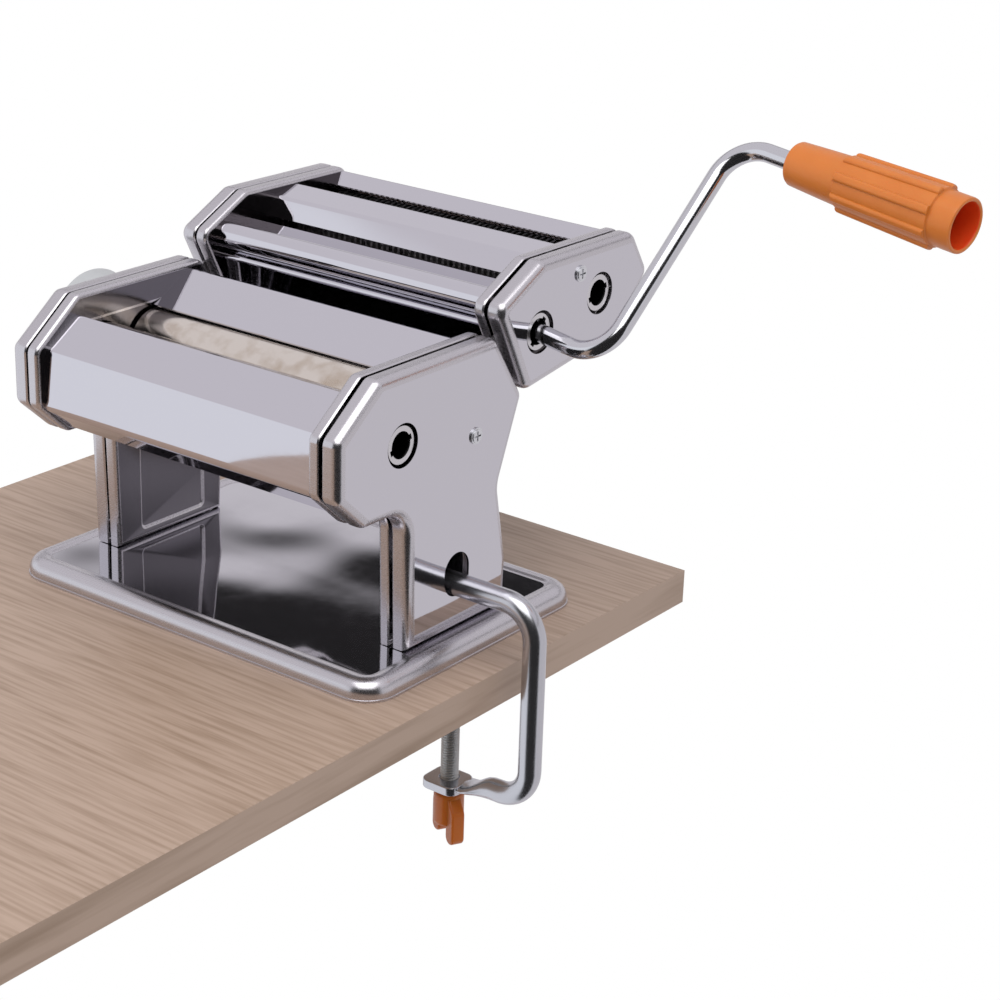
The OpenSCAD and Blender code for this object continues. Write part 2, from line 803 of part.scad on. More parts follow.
module eye_outline() {
  c = eye_corner;
  for (x = [eye_x[0] + c, eye_x[1] - c]) for (y = [eye_y[0] + c, eye_y[1] - c])
    translate([x, y]) circle(r = c);
  translate([eye_x[0], eye_y[0] + c]) square([eye_x[1] - eye_x[0], eye_y[1] - eye_y[0] - 2 * c]);
  translate([eye_x[0] + c, eye_y[0]]) square([eye_x[1] - eye_x[0] - 2 * c, eye_y[1] - eye_y[0]]);
}

module clamp_rod()
  color(chrome) difference() {
    union() {
      bent_bar([[frame_x + 0.2, clamp_y, clamp_rod_z], [clamp_x, clamp_y, clamp_rod_z],
        [clamp_x, clamp_y, eye_z], [106, clamp_y, eye_z]], 15, clamp_d / 2);
      translate([0, 0, eye_top - eye_t]) linear_extrude(eye_t) eye_outline();
      // neck between the plate and the round leg
      translate([0, clamp_y + 4.5, 0]) rotate([90, 0, 0]) linear_extrude(9)
        polygon([[98, eye_top - eye_t], [98, eye_top], [107, -57], [112, -57],
          [112, -64], [106, -65.6]]);
    }
    translate([screw_x, clamp_y, eye_top - 10]) cylinder(d = screw_d + 0.1, h = 20);
  }

pad_top = -table_t - 0.1;

module clamp_screw()
  color(zinc) translate([screw_x, clamp_y, 0]) {
    translate([0, 0, -78]) cylinder(d = screw_d, h = 78 + pad_top - 5);
    translate([0, 0, pad_top - 5 - eps]) cylinder(d = 5, h = 2.5);
  }

module clamp_pad()
  color(zinc) translate([screw_x, clamp_y, 0]) difference() {
    translate([0, 0, pad_top - 4]) cylinder(r = 10, h = 4);
    translate([0, 0, pad_top - 4 - eps]) cylinder(d = 5.12, h = 2);
  }

module clamp_wing()
  color(orange) translate([screw_x, clamp_y, 0]) rotate([0, 0, -28]) difference() {
    union() {
      translate([0, 0, -84.5]) cylinder(r = 6.7, h = 15.9);
      for (s = [0, 1]) mirror([s, 0, 0]) rotate([90, 0, 0])
        translate([0, 0, -3.1]) linear_extrude(6.2) union() {
          translate([7.2, -88.2]) circle(r = 3.5);
          polygon([[0, -69.5], [6.7, -69.5], [10.7, -75], [10.7, -88.2], [3.7, -88.2],
            [3.7, -84], [0, -84]]);
        }
    }
    translate([0, 0, -78]) cylinder(d = screw_d, h = 20);
  }

// ---- drawing ----------------------------------------------------------

base();
inner_frame_left();
inner_frame_right();
cover_left();
cover_right();
front_panel();
rear_panel();
front_scraper();
rear_scraper();
tie_rods();
cover_spacers();
cover_screws();
foot_screws();
roller_bushes();
front_roller();
drive_socket();
front_gear();
rear_axle();
rear_roller();
rear_gear();
adjust_cam();
knob();
knob_spring();
knob_screw();
cutter_frame_left();
cutter_frame_right();
cutter_cover_left();
cutter_cover_right();
cutter_rear_panel();
cutter_centre_panel();
cutter_nose_panel();
cutter_lower_panel();
cutter_tongues();
cutter_spacers();
cutter_screws();
cutter_bushes();
wide_comb();
narrow_comb();
wide_cutter_front();
wide_cutter_back();
wide_gear_front();
wide_gear_back();
wide_socket();
narrow_cutter_front();
narrow_cutter_back();
narrow_gear_front();
narrow_gear_back();
narrow_socket();
crank_rod();
grip();
grip_washer();
clamp_rod();
clamp_screw();
clamp_wing();
clamp_pad();
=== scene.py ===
# %% [markdown]
# # A hand-cranked pasta machine
# The machine is a set of pressed steel shells and folded panels round a pair
# of smooth rollers and two pairs of toothed cutters. It could be drawn as
# one mesh, but then nothing could turn or slide. So the solids of all parts
# are loaded first, as a fixed frame in metres, and each visible piece is
# modelled over the solid that it stands for and rides on the same body.

# %% Load the solids
import math
import bmesh
import bpy
from mathutils import Matrix, Vector


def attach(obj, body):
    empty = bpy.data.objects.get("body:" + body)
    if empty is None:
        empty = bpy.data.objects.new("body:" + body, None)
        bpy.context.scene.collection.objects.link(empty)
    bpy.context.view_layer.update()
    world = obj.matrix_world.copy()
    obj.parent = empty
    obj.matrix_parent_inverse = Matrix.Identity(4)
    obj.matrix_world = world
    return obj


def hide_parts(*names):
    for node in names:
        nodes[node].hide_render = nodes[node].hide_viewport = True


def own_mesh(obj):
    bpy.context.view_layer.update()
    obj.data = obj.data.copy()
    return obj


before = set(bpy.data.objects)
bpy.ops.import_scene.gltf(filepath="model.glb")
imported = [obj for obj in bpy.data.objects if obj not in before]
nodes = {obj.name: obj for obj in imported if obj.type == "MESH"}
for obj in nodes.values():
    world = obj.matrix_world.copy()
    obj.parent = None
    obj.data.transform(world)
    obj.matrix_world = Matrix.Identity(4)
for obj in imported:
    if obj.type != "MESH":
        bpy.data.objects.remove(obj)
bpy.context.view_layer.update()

# %% [markdown]
# Sizes are easier to check in millimetres, so shapes are drawn in them and
# `MM` turns a length to metres. Colours are written as the hex values that a
# colour picker shows. Shaders want linear light, so one function converts
# them. Nodes could be placed by hand in the editor, but a small function that
# adds one with its settings and links keeps each finish readable as text.

# %% Units, colours and nodes
MM = 0.001
# the colour sockets of a Mix node, which has others of the same names
MIX_FACTOR, MIX_A, MIX_B, MIX_COLOUR = 0, 6, 7, 2


def linear(hex_colour):
    """sRGB hex such as 'C8B29C' to a linear RGBA tuple."""
    parts = [int(hex_colour[i:i + 2], 16) / 255 for i in (0, 2, 4)]
    parts = [c / 12.92 if c <= 0.04045 else ((c + 0.055) / 1.055) ** 2.4 for c in parts]
    return (*parts, 1.0)


def add_node(owner, kind, values=None, links=None, **settings):
    """One node of a material or world, with its settings, values and incoming links."""
    node = owner.node_tree.nodes.new(kind)
    for name, value in settings.items():
        setattr(node, name, value)
    for name, value in (values or {}).items():
        node.inputs[name].default_value = value
    for name, source in (links or {}).items():
        owner.node_tree.links.new(source, node.inputs[name])
    return node


def new_material(name):
    """An empty node material, and where on the object each point of it is."""
    material = bpy.data.materials.new(name)
    material.use_nodes = True
    material.node_tree.nodes.clear()
    return material, add_node(material, "ShaderNodeTexCoord").outputs["Object"]


print("mid grey in linear light:", round(linear("808080")[0], 3))

# %% [markdown]
# The shells and panels are stainless sheet, polished to a mirror. A perfect
# mirror would look like glass: real sheet is never quite flat, because
# pressing leaves a slow wave that bends the reflections. A normal map could
# hold that wave, but noise through a Bump node needs no picture. Polishing
# dust makes the gloss a little uneven, which a finer noise gives.

# %% Finish: mirror polished stainless sheet
WAVE_MM, WAVE_HEIGHT = 100.0, 2.2 * MM
HAZE_MM = 6.0


def mirror_sheet():
    """Steel that reflects nearly sharply, with a slow wave and a fine haze."""
    material, place = new_material("mirror_polished_stainless")
    wave = add_node(material, "ShaderNodeTexNoise", {"Scale": 1000 / WAVE_MM, "Detail": 1.0},
                    {"Vector": place})
    bump = add_node(material, "ShaderNodeBump", {"Strength": 0.5, "Distance": WAVE_HEIGHT},
                    {"Height": wave.outputs["Fac"]})
    haze = add_node(material, "ShaderNodeTexNoise", {"Scale": 1000 / HAZE_MM, "Detail": 4.0},
                    {"Vector": place})
    gloss = add_node(material, "ShaderNodeMapRange", {"To Min": 0.02, "To Max": 0.06},
                     {"Value": haze.outputs["Fac"]})
    steel = add_node(material, "ShaderNodeBsdfPrincipled",
                     {"Base Color": linear("D2D0D6"), "Metallic": 1.0},
                     {"Roughness": gloss.outputs["Result"], "Normal": bump.outputs["Normal"]})
    add_node(material, "ShaderNodeOutputMaterial", {}, {"Surface": steel.outputs["BSDF"]})
    return material


MIRROR = mirror_sheet()
print("made", MIRROR.name)

# %% [markdown]
# Rims, frames, scrapers and cutter rings keep the grain of rolling and
# grinding: long fine scratches in one direction, which spread a highlight
# across them. Anisotropic shading could do that, but a noise stretched along
# one axis also shows the scratches close up. Zinc and galvanised parts are
# duller, and gears are darkened by oil, so one function makes them all from a
# colour, a direction and a roughness.

# %% Finish: brushed and plated steels
GRAIN_MM, GRAIN_DEPTH, GRAIN_STRETCH = 0.35, 0.03 * MM, 0.02


def brushed_steel(name, colour, along, rough):
    """Scratches run along the axis `along` (0, 1 or 2)."""
    material, place = new_material(name)
    stretch = [GRAIN_STRETCH if axis == along else 1.0 for axis in range(3)]
    drawn = add_node(material, "ShaderNodeMapping", {"Scale": stretch}, {"Vector": place})
    grain = add_node(material, "ShaderNodeTexNoise", {"Scale": 1000 / GRAIN_MM, "Detail": 3.0},
                     {"Vector": drawn.outputs["Vector"]})
    bump = add_node(material, "ShaderNodeBump", {"Strength": 0.15, "Distance": GRAIN_DEPTH},
                    {"Height": grain.outputs["Fac"]})
    gloss = add_node(material, "ShaderNodeMapRange",
                     {"To Min": rough - 0.06, "To Max": rough + 0.08},
                     {"Value": grain.outputs["Fac"]})
    steel = add_node(material, "ShaderNodeBsdfPrincipled",
                     {"Base Color": linear(colour), "Metallic": 1.0},
                     {"Roughness": gloss.outputs["Result"], "Normal": bump.outputs["Normal"]})
    add_node(material, "ShaderNodeOutputMaterial", {}, {"Surface": steel.outputs["BSDF"]})
    return material


SATIN = brushed_steel("satin_stainless", "BDBBBC", 0, 0.28)
ROLLED = brushed_steel("plain_rolled_stainless", "7A777C", 2, 0.16)
OILED = brushed_steel("oiled_rolled_stainless", "565154", 2, 0.14)
RIM = brushed_steel("ground_stainless_rim", "CBC8CC", 0, 0.27)
ZINC = brushed_steel("zinc_plated_steel", "B4B6B8", 2, 0.32)
BRIGHT_ZINC = brushed_steel("bright_zinc_plate", "DCDDE0", 1, 0.38)
GALVANISED = brushed_steel("galvanised_steel", "CFD2D3", 2, 0.48)
GEAR = brushed_steel("oiled_gear_steel", "77777A", 0, 0.36)
print("made 8 brushed and plated steels, from", SATIN.name, "to", GEAR.name)

# %% [markdown]
# The rings that take the crank are turned steel. They are bright on the end that is seen, and
# painted dark in the bore as painted shade for the shadow inside it. Two materials would need the
# ring's faces sorted. One is enough, because the bore begins where the ring's end stops, so the X
# coordinate tells the steel from the painted shade.

# %% Finish: turned rings with painted shade in the bore
RING_END_X = 91.0 * MM
UNSHADED_FROM_X, UNSHADED_TO_X = RING_END_X - 1.2 * MM, RING_END_X - 0.2 * MM
TURNING_MM = 0.6


def turned_steel_with_painted_bore_shade():
    """Bright turned steel at the ring's end, painted shade behind it in the bore."""
    material, place = new_material("turned_steel_painted_bore_shade")
    depth = add_node(material, "ShaderNodeSeparateXYZ", {}, {"Vector": place}).outputs["X"]
    unshaded = add_node(material, "ShaderNodeMapRange",
                     {"From Min": UNSHADED_FROM_X, "From Max": UNSHADED_TO_X}, {"Value": depth})
    turning = add_node(material, "ShaderNodeTexNoise", {"Scale": 1000 / TURNING_MM, "Detail": 2.0},
                       {"Vector": place})
    # the dark colour 2A2829 is painted shade for the bore; the light one is the steel's own colour
    tint = add_node(material, "ShaderNodeMix", {MIX_A: linear("2A2829"), MIX_B: linear("D6D4D6")},
                    {MIX_FACTOR: unshaded.outputs["Result"]}, data_type="RGBA")
    gloss = add_node(material, "ShaderNodeMapRange", {"To Min": 0.2, "To Max": 0.4},
                     {"Value": turning.outputs["Fac"]})
    steel = add_node(material, "ShaderNodeBsdfPrincipled", {"Metallic": 1.0},
                     {"Base Color": tint.outputs[MIX_COLOUR], "Roughness": gloss.outputs["Result"]})
    add_node(material, "ShaderNodeOutputMaterial", {}, {"Surface": steel.outputs["BSDF"]})
    return material


SHADED_BORE_STEEL = turned_steel_with_painted_bore_shade()
print("made", SHADED_BORE_STEEL.name)

# %% [markdown]
# The smooth rollers are ground and polished. Dough and hands leave a warm,
# cloudy film on them. It could be a second, see-through layer, but the film
# is so thin that it is enough to warm the steel's colour and dull its gloss
# where one soft noise is high.

# %% Finish: handled roller steel
FILM_MM = 14.0


def roller_steel():
    """Polished steel with a film of flour and fat in clouds."""
    material, place = new_material("handled_roller_steel")
    cloud = add_node(material, "ShaderNodeTexNoise", {"Scale": 1000 / FILM_MM, "Detail": 4.0},
                     {"Vector": place})
    film = add_node(material, "ShaderNodeMapRange", {"From Min": 0.48, "From Max": 0.78},
                    {"Value": cloud.outputs["Fac"]})
    tint = add_node(material, "ShaderNodeMix", {MIX_A: linear("E2DAD0"), MIX_B: linear("B8A692")},
                    {MIX_FACTOR: film.outputs["Result"]}, data_type="RGBA")
    gloss = add_node(material, "ShaderNodeMapRange", {"To Min": 0.14, "To Max": 0.34},
                     {"Value": film.outputs["Result"]})
    steel = add_node(material, "ShaderNodeBsdfPrincipled", {"Metallic": 1.0},
                     {"Base Color": tint.outputs[MIX_COLOUR], "Roughness": gloss.outputs["Result"]})
    add_node(material, "ShaderNodeOutputMaterial", {}, {"Surface": steel.outputs["BSDF"]})
    return material


ROLLER = roller_steel()
print("made", ROLLER.name)

# %% [markdown]
# The crank and the clamp are chrome plated round bar. Chrome has no grain,
# so it needs no bump: only its roughness wanders a little, in soft patches.
# The clamp rod is plated over rougher bar, so its reflections are softer.

# %% Finish: chrome plate
PLATE_MM = 20.0


def chrome_plate(name, colour, smooth, dull):
    """Its roughness wanders between two values in soft patches."""
    material, place = new_material(name)
    patch = add_node(material, "ShaderNodeTexNoise", {"Scale": 1000 / PLATE_MM, "Detail": 2.0},
                     {"Vector": place})
    gloss = add_node(material, "ShaderNodeMapRange", {"To Min": smooth, "To Max": dull},
                     {"Value": patch.outputs["Fac"]})
    chrome = add_node(material, "ShaderNodeBsdfPrincipled",
                      {"Base Color": linear(colour), "Metallic": 1.0},
                      {"Roughness": gloss.outputs["Result"]})
    add_node(material, "ShaderNodeOutputMaterial", {}, {"Surface": chrome.outputs["BSDF"]})
    return material


CHROME = chrome_plate("bright_chrome_plate", "D2D2D6", 0.10, 0.17)
DULL_CHROME = chrome_plate("dull_chrome_plate", "C6C6CB", 0.20, 0.30)
print("made", CHROME.name, DULL_CHROME.name)

# %% [markdown]
# The grip and the clamp's wing are injection moulded in an orange plastic
# that lets a little light in, which subsurface scattering gives. The knob is
# silver-grey ABS and the bushes are white nylon, which look solid. All of
# them have the fine skin of a spark-eroded mould and a colour that drifts a
# little where the melt flowed, so one function makes them.

# %% Finish: moulded plastics
FLOW_MM = 14.0
MOULD_SKIN_MM, SKIN_DEPTH = 1.2, 0.04 * MM
PLASTIC_IOR = 1.5
GLOW_DEPTHS = (4.0 * MM, 1.5 * MM, 0.5 * MM)


def moulded(name, light, dark, rough, glow=0.0):
    """A moulded plastic; `glow` is how much of it is lit from within."""
    material, place = new_material(name)
    flow = add_node(material, "ShaderNodeTexNoise", {"Scale": 1000 / FLOW_MM, "Detail": 2.0},
                    {"Vector": place})
    tint = add_node(material, "ShaderNodeMix", {MIX_A: linear(light), MIX_B: linear(dark)},
                    {MIX_FACTOR: flow.outputs["Fac"]}, data_type="RGBA")
    skin = add_node(material, "ShaderNodeTexNoise", {"Scale": 1000 / MOULD_SKIN_MM, "Detail": 2.0},
                    {"Vector": place})
    bump = add_node(material, "ShaderNodeBump", {"Strength": 0.15, "Distance": SKIN_DEPTH},
                    {"Height": skin.outputs["Fac"]})
    values = {"Roughness": rough, "IOR": PLASTIC_IOR}
    if glow:
        values |= {"Subsurface Weight": glow, "Subsurface Radius": GLOW_DEPTHS,
                   "Subsurface Scale": 1.0}
    plastic = add_node(material, "ShaderNodeBsdfPrincipled", values,
                       {"Base Color": tint.outputs[MIX_COLOUR], "Normal": bump.outputs["Normal"]})
    add_node(material, "ShaderNodeOutputMaterial", {}, {"Surface": plastic.outputs["BSDF"]})
    return material


ORANGE = moulded("orange_moulded_plastic", "DA7F36", "D0742C", 0.34, 0.15)
# the inside of the grip's hollow is painted a lighter, deeper orange: painted glow of light shining
# through the wall
GRIP_INSIDE_PAINTED_GLOW = moulded("orange_plastic_painted_inner_glow", "F0521A", "E04812", 0.45, 0.3)
AMBER = moulded("amber_moulded_plastic", "C76A14", "B75C10", 0.28, 0.2)
SILVER = moulded("silver_grey_moulded_plastic", "C2C3C6", "B6B8BB", 0.35)
NYLON = moulded("white_nylon", "E4E1D8", "D9D6CC", 0.5)
print("made", ORANGE.name, GRIP_INSIDE_PAINTED_GLOW.name, AMBER.name, SILVER.name, NYLON.name)

# %% [markdown]
# Every solid gets a finish, also those that a modelled piece will cover,
# because the frame keeps them. A table from finish to solids is easier to
# read and to check than one line for each solid.

# %% Dress the solids
finishes = {
    MIRROR: ["base", "cover_left", "cover_right", "front_panel", "rear_panel", "cutter_cover_left",
             "cutter_cover_right", "cutter_rear_panel", "cutter_centre_panel",
             "cutter_nose_panel", "cutter_lower_panel"],
    SATIN: ["inner_frame_left", "inner_frame_right", "front_scraper", "rear_scraper",
            "cutter_frame_left", "cutter_frame_right", "cutter_tongues", "wide_comb",
            "narrow_comb", "wide_cutter_front", "wide_cutter_back", "narrow_cutter_front",
            "narrow_cutter_back"],
    ROLLER: ["front_roller", "rear_roller"],
    # the sockets' bores carry painted shade
    SHADED_BORE_STEEL: ["drive_socket", "wide_socket", "narrow_socket"],
    BRIGHT_ZINC: ["cover_screws", "cutter_screws", "knob_screw"],
    ZINC: ["tie_rods", "cover_spacers", "foot_screws", "rear_axle", "adjust_cam", "knob_spring",
           "cutter_spacers", "grip_washer", "clamp_pad"],
    GALVANISED: ["clamp_screw"],
    GEAR: ["front_gear", "rear_gear", "wide_gear_front", "wide_gear_back", "narrow_gear_front",
           "narrow_gear_back"],
    CHROME: ["crank_rod"],
    DULL_CHROME: ["clamp_rod"],
    ORANGE: ["grip"],
    AMBER: ["clamp_wing"],
    SILVER: ["knob"],
    NYLON: ["roller_bushes", "cutter_bushes"],
}
for material, names in finishes.items():
    for name in names:
        nodes[name].data.materials.clear()
        nodes[name].data.materials.append(material)
print("dressed", sum(len(names) for names in finishes.values()), "of", len(nodes), "solids")

# %% [markdown]
# The solids have plain, sharp edges. Pressed sheet has rounded edges that
# catch a soft line of light, so the parts that show are modelled again over
# their solids. They are drawn in millimetres, with X across, Y back and Z up.
# One helper turns each finished bmesh into a piece: it merges doubles, turns the faces outwards,
# gives a wall and smooth shading, hangs the piece on the body it rides on, and hides the solids it
# stands for.

# %% Helper: finish a piece
MERGE_MM = 0.002
# heights and places that are this close count as the same
SAME_MM = 1e-4


def finish_piece(name, bm, materials, body, *stands_for, sharp=35.0, wall=0.0):
    """Merge, turn outwards, give a wall if asked, and put the piece in the scene."""
    bmesh.ops.remove_doubles(bm, verts=bm.verts, dist=MERGE_MM)
    bmesh.ops.recalc_face_normals(bm, faces=bm.faces)
    if wall:
        bmesh.ops.solidify(bm, geom=bm.faces[:], thickness=wall)
    bmesh.ops.scale(bm, vec=(MM, MM, MM), verts=bm.verts)
    mesh = bpy.data.meshes.new(name)
    bm.to_mesh(mesh)
    bm.free()
    for material in materials:
        mesh.materials.append(material)
    mesh.shade_smooth()
    mesh.set_sharp_from_angle(angle=math.radians(sharp))
    piece = bpy.data.objects.new(name, mesh)
    bpy.context.scene.collection.objects.link(piece)
    even = piece.modifiers.new("even_shading", "WEIGHTED_NORMAL")
    even.keep_sharp = True
    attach(piece, body)
    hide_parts(*stands_for)
    print("made", name, "with", len(mesh.polygons), "faces")
    return piece


print("corners closer than", MERGE_MM, "mm are merged")

# %% [markdown]
# An operator hands back all that it made, in one list. Small helpers pick
# the vertices and edges that the next operator needs. A Python set would do
# for that, but its order changes from run to run, and an operator that goes
# by it could then cut the same face along another diagonal.

# %% Helper: what an operator made
def new_verts(made):
    """The vertices among what an operator made."""
    return [part for part in made if isinstance(part, bmesh.types.BMVert)]


def edges_at(verts):
    """Every edge that ends on one of the vertices, once each and in a fixed order."""
    return list(dict.fromkeys(edge for v in verts for edge in v.link_edges))


def new_edges(made):
    """The edges of an extrusion that join two new vertices."""
    verts = set(new_verts(made))
    return [edge for edge in edges_at(new_verts(made)) if verts.issuperset(edge.verts)]


def soften(bm, edges, radius, steps):
    """Bevel edges until they are round."""
    bmesh.ops.bevel(bm, geom=edges, offset=radius, offset_type="OFFSET", affect="EDGES",
                    segments=steps, profile=0.5, material=-1, clamp_overlap=True)


print("helpers: new_verts, edges_at, new_edges, soften")

# %% [markdown]
# Most pressed and moulded shapes start as a flat outline with rounded
# corners. Arcs could be worked out point by point, but a vertex bevel rounds
# a corner exactly. For a radius r at a corner that turns by t, the bevel
# starts r * tan(t / 2) from the corner.

# %% Helper: rounded outlines
def on_circle(centre, radius, degrees):
    """A point of a circle in a drawing."""
    angle = math.radians(degrees)
    return centre[0] + radius * math.cos(angle), centre[1] + radius * math.sin(angle)


def across(x):
    """Lay a drawing in (y, z) on the plane at x."""
    return lambda y, z: (x, y, z)


def facing(y):
    """Lay a drawing in (x, z) on the plane at y."""
    return lambda x, z: (x, y, z)


def level(z):
    """Lay a drawing in (x, y) on the plane at z."""
    return lambda x, y: (x, y, z)


def rounded_face(bm, corners, lay, steps=6):
    """A flat face through corners (a, b, radius), each corner rounded."""
    others = set(bm.faces)
    verts = [bm.verts.new(lay(a, b)) for a, b, radius in corners]
    bm.faces.new(verts)
    points = [Vector((a, b)) for a, b, radius in corners]
    for i, (a, b, radius) in enumerate(corners):
        if radius:
            turn = (points[i] - points[i - 1]).angle(points[(i + 1) % len(points)] - points[i])
            bmesh.ops.bevel(bm, geom=[verts[i]], offset=radius * math.tan(turn / 2),
                            offset_type="OFFSET", affect="VERTICES", segments=steps, profile=0.5,
                            material=-1, clamp_overlap=False)
    return (set(bm.faces) - others).pop()


def rounded_loop(bm, corners, lay):
    """The edges of such a face alone."""
    face = rounded_face(bm, corners, lay)
    edges = list(face.edges)
    bmesh.ops.delete(bm, geom=[face], context="FACES_ONLY")
    return edges


def hole_loop(bm, x, y, z, radius, stretch=(0.0, 0.0), steps=48):
    """A circle of edges facing X; its far half moves on by `stretch` to make a slot."""
    place = Matrix.Translation((x, y, z)) @ Matrix.Rotation(math.radians(90), 4, "Y") @ \
        Matrix.Rotation(math.pi / steps, 4, "Z")
    circle = bmesh.ops.create_circle(bm, cap_ends=False, radius=radius, segments=steps,
                                     matrix=place)["verts"]
    along = Vector((0.0, *stretch))
    if along.length:
        ahead = [v for v in circle if (v.co - Vector((x, y, z))).dot(along) > 0]
        bmesh.ops.translate(bm, vec=along, verts=ahead)
    return edges_at(circle)


print("a 4.5 mm corner that turns by 90 degrees starts", round(4.5 * math.tan(math.pi / 4), 2),
      "mm from it")

# %% [markdown]
# A rounded edge between a rim and a flat face is a stack of outlines, each a
# little further in. The Inset operator could move them, but at a hollow
# corner it pulls the points out of line. Moving every edge and finding where
# the moved edges cross keeps each outline exact. The edge on the base plate
# stays where it is.

# %% Helper: an outline moved inwards
PLATEAU_Z = 7.6
# the pans stand a hair over the plateau, which leaves a thin dark line
FLOOR_Z = PLATEAU_Z + 0.3


def drawn_in(corners, distance):
    """The corners of an outline whose every edge, but one on the floor, is moved inwards."""
    points = [Vector((a, b)) for a, b, radius in corners]
    area = sum(p.x * q.y - q.x * p.y for p, q in zip(points, points[1:] + points[:1]))
    moved = []
    for i, (a, b, radius) in enumerate(corners):
        here, before, after = points[i], points[i - 1], points[(i + 1) % len(points)]
        rows, shifts = [], []
        for start, end in ((before, here), (here, after)):
            way = (end - start).normalized() * math.copysign(1.0, area)
            rows.append((-way.y, way.x))
            shifts.append(0.0 if start.y == end.y == FLOOR_Z else distance)
        shift = Matrix(rows).inverted() @ Vector(shifts)
        convex = (here - before).cross(after - here) * area > 0
        new_radius = radius and radius + (-distance if convex else distance)
        moved.append((a + shift.x, b + shift.y, new_radius))
    return moved


square = [(0, 0, 3), (10, 0, 3), (10, 10, 3), (0, 10, 3)]
print("a square's first corner moved in by 1 mm:", drawn_in(square, 1.0)[0])

# %% [markdown]
# Each side of the machine is two shallow pans of 1 mm sheet, pressed into a
# die: a flat face, a rim, and a rounded edge between them. A bevel on a
# finished block would be simpler, but its arcs collide where a corner radius
# is about as small as the edge's. So a pan is built as a stack of outlines
# that are joined into a skin by bridging. The flat face is filled round its
# holes, and the wall thickness comes last. Inner pans also have a shallow
# recess, which stiffens the sheet.

# %% Helper: a pressed pan
SHEET = 1.0
# the rim's edge curls in by CURL, and by CURL_MIDWAY halfway
CURL, CURL_MIDWAY = 0.5, 0.12
RECESS_SLOPE = 1.4
FLAT_NORMAL = 0.999


def pressed_pan(name, corners, x_rim, x_face, rounding, holes, body, node, recess=None, side=1,
                flat=MIRROR):
    """A pan from its rim to its flat face; holes are (y, z, radius, stretch)."""
    bm = bmesh.new()
    inwards = math.copysign(1.0, x_face - x_rim)
    levels = [(x_rim, CURL), (x_rim + inwards * CURL, CURL_MIDWAY),
              (x_rim + inwards * 2 * CURL, 0.0)]
    for degrees in range(0, 91, 15):
        less_in, less_up = on_circle((0.0, 0.0), rounding, degrees)
        levels.append((x_face - inwards * (rounding - less_up), rounding - less_in))
    loops = [rounded_loop(bm, drawn_in(corners, inset), across(x)) for x, inset in levels]
    for loop, following in zip(loops, loops[1:]):
        bmesh.ops.bridge_loops(bm, edges=loop + following)
    under = [f for f in bm.faces if all(abs(v.co.z - FLOOR_Z) < SAME_MM for v in f.verts)]
    bmesh.ops.delete(bm, geom=under, context="FACES_ONLY")
    outline, x_holes = loops[-1], x_face
    if recess:
        recess_corners, depth = recess
        x_holes = x_face + depth
        rings = [rounded_loop(bm, drawn_in(recess_corners, inset), across(x))
                 for x, inset in ((x_face, 0.0), (x_holes, RECESS_SLOPE))]
        bmesh.ops.triangle_fill(bm, use_beauty=True, edges=outline + rings[0], normal=(1, 0, 0))
        bmesh.ops.bridge_loops(bm, edges=rings[0] + rings[1])
        outline = rings[1]
    edges = outline[:]
    for y, z, radius, *stretch in holes:
        edges += hole_loop(bm, x_holes, y, z, radius, *stretch)
    bmesh.ops.triangle_fill(bm, use_beauty=True, edges=edges, normal=(1, 0, 0))
    if side < 0:
        bmesh.ops.scale(bm, vec=(-1, 1, 1), verts=bm.verts)
    for face in bm.faces:
        face.normal_update()
        face.material_index = 0 if abs(face.normal.x) > FLAT_NORMAL else 1
    return finish_piece(name, bm, [flat, RIM], body, node, wall=SHEET)


print("sheet is", SHEET, "mm thick")

# %% [markdown]
# The sides of the body share one outline: eight-sided round the rollers, and
# narrowing to a leg that stands on the base. Shafts come through round holes
# and the clamp rod through a slot. On the knob's side a ring of small holes
# takes the knob's pin, one for each thickness.

# %% Outlines and holes of the body
BODY_TOP_Z = 131
BODY_CORNERS = [(21, BODY_TOP_Z, 4.5), (-54, BODY_TOP_Z, 4.5), (-79, 111.5, 4.5), (-79, 86.5, 4.5),
                (-62, 71, 4.5), (-36, 71, 11.5), (-34.44, FLOOR_Z, 0), (31.7, FLOOR_Z, 0),
                (32.5, 30, 4.5), (25.5, 65, 11.5), (40, 102, 4.5)]
RECESS_CORNERS = [(14, 119, 6), (-50, 119, 6), (-67, 106, 6), (-67, 92, 6), (-56, 83, 6),
                  (-20.5, 83, 8), (-20.5, 12.0, 3), (20.4, 12.0, 3), (20.4, 30, 6), (15, 64, 8),
                  (27, 101, 6)]
RECESS_DEPTH = 0.9
FRONT_AXIS, REAR_AXIS = (-40.0, 100.8), (-10.2, 100.8)
RING_HOLE_R = 9.4
BUSH_HOLE_R = 9.0
SPINDLE_HOLE_R = 6.2
# the rear roller moves back, so its axle and its cam have slots
ROLLER_TRAVEL = (2.4, 0.0)
AXLE_SLOT = (*REAR_AXIS, 4.2, ROLLER_TRAVEL)
CAM_SLOT = (*REAR_AXIS, 8.0, ROLLER_TRAVEL)
CLAMP_SLOT = (-3.0, 31.7, 8.2, (0.0, 3.2))
INDEX_CIRCLE_R, INDEX_HOLE_R, INDEX_STEP, SETTINGS = 15, 1.6, 20, 9
INDEX_HOLES = [(*on_circle(REAR_AXIS, INDEX_CIRCLE_R, INDEX_STEP * i), INDEX_HOLE_R)
               for i in range(SETTINGS)]
print("the body is", BODY_TOP_Z - PLATEAU_Z, "mm high over the base")

# %% [markdown]
# A cover opens inwards and the frame behind it opens outwards, so their rims
# meet at a seam that shows as a dark line all round. Both are the same pan,
# turned by the order of its rim and its face.

# %% Covers and frames of the body
FRAME_X, FLANGE_X, COVER_X, FACE_X = 76.0, 82.0, 83.0, 92.0
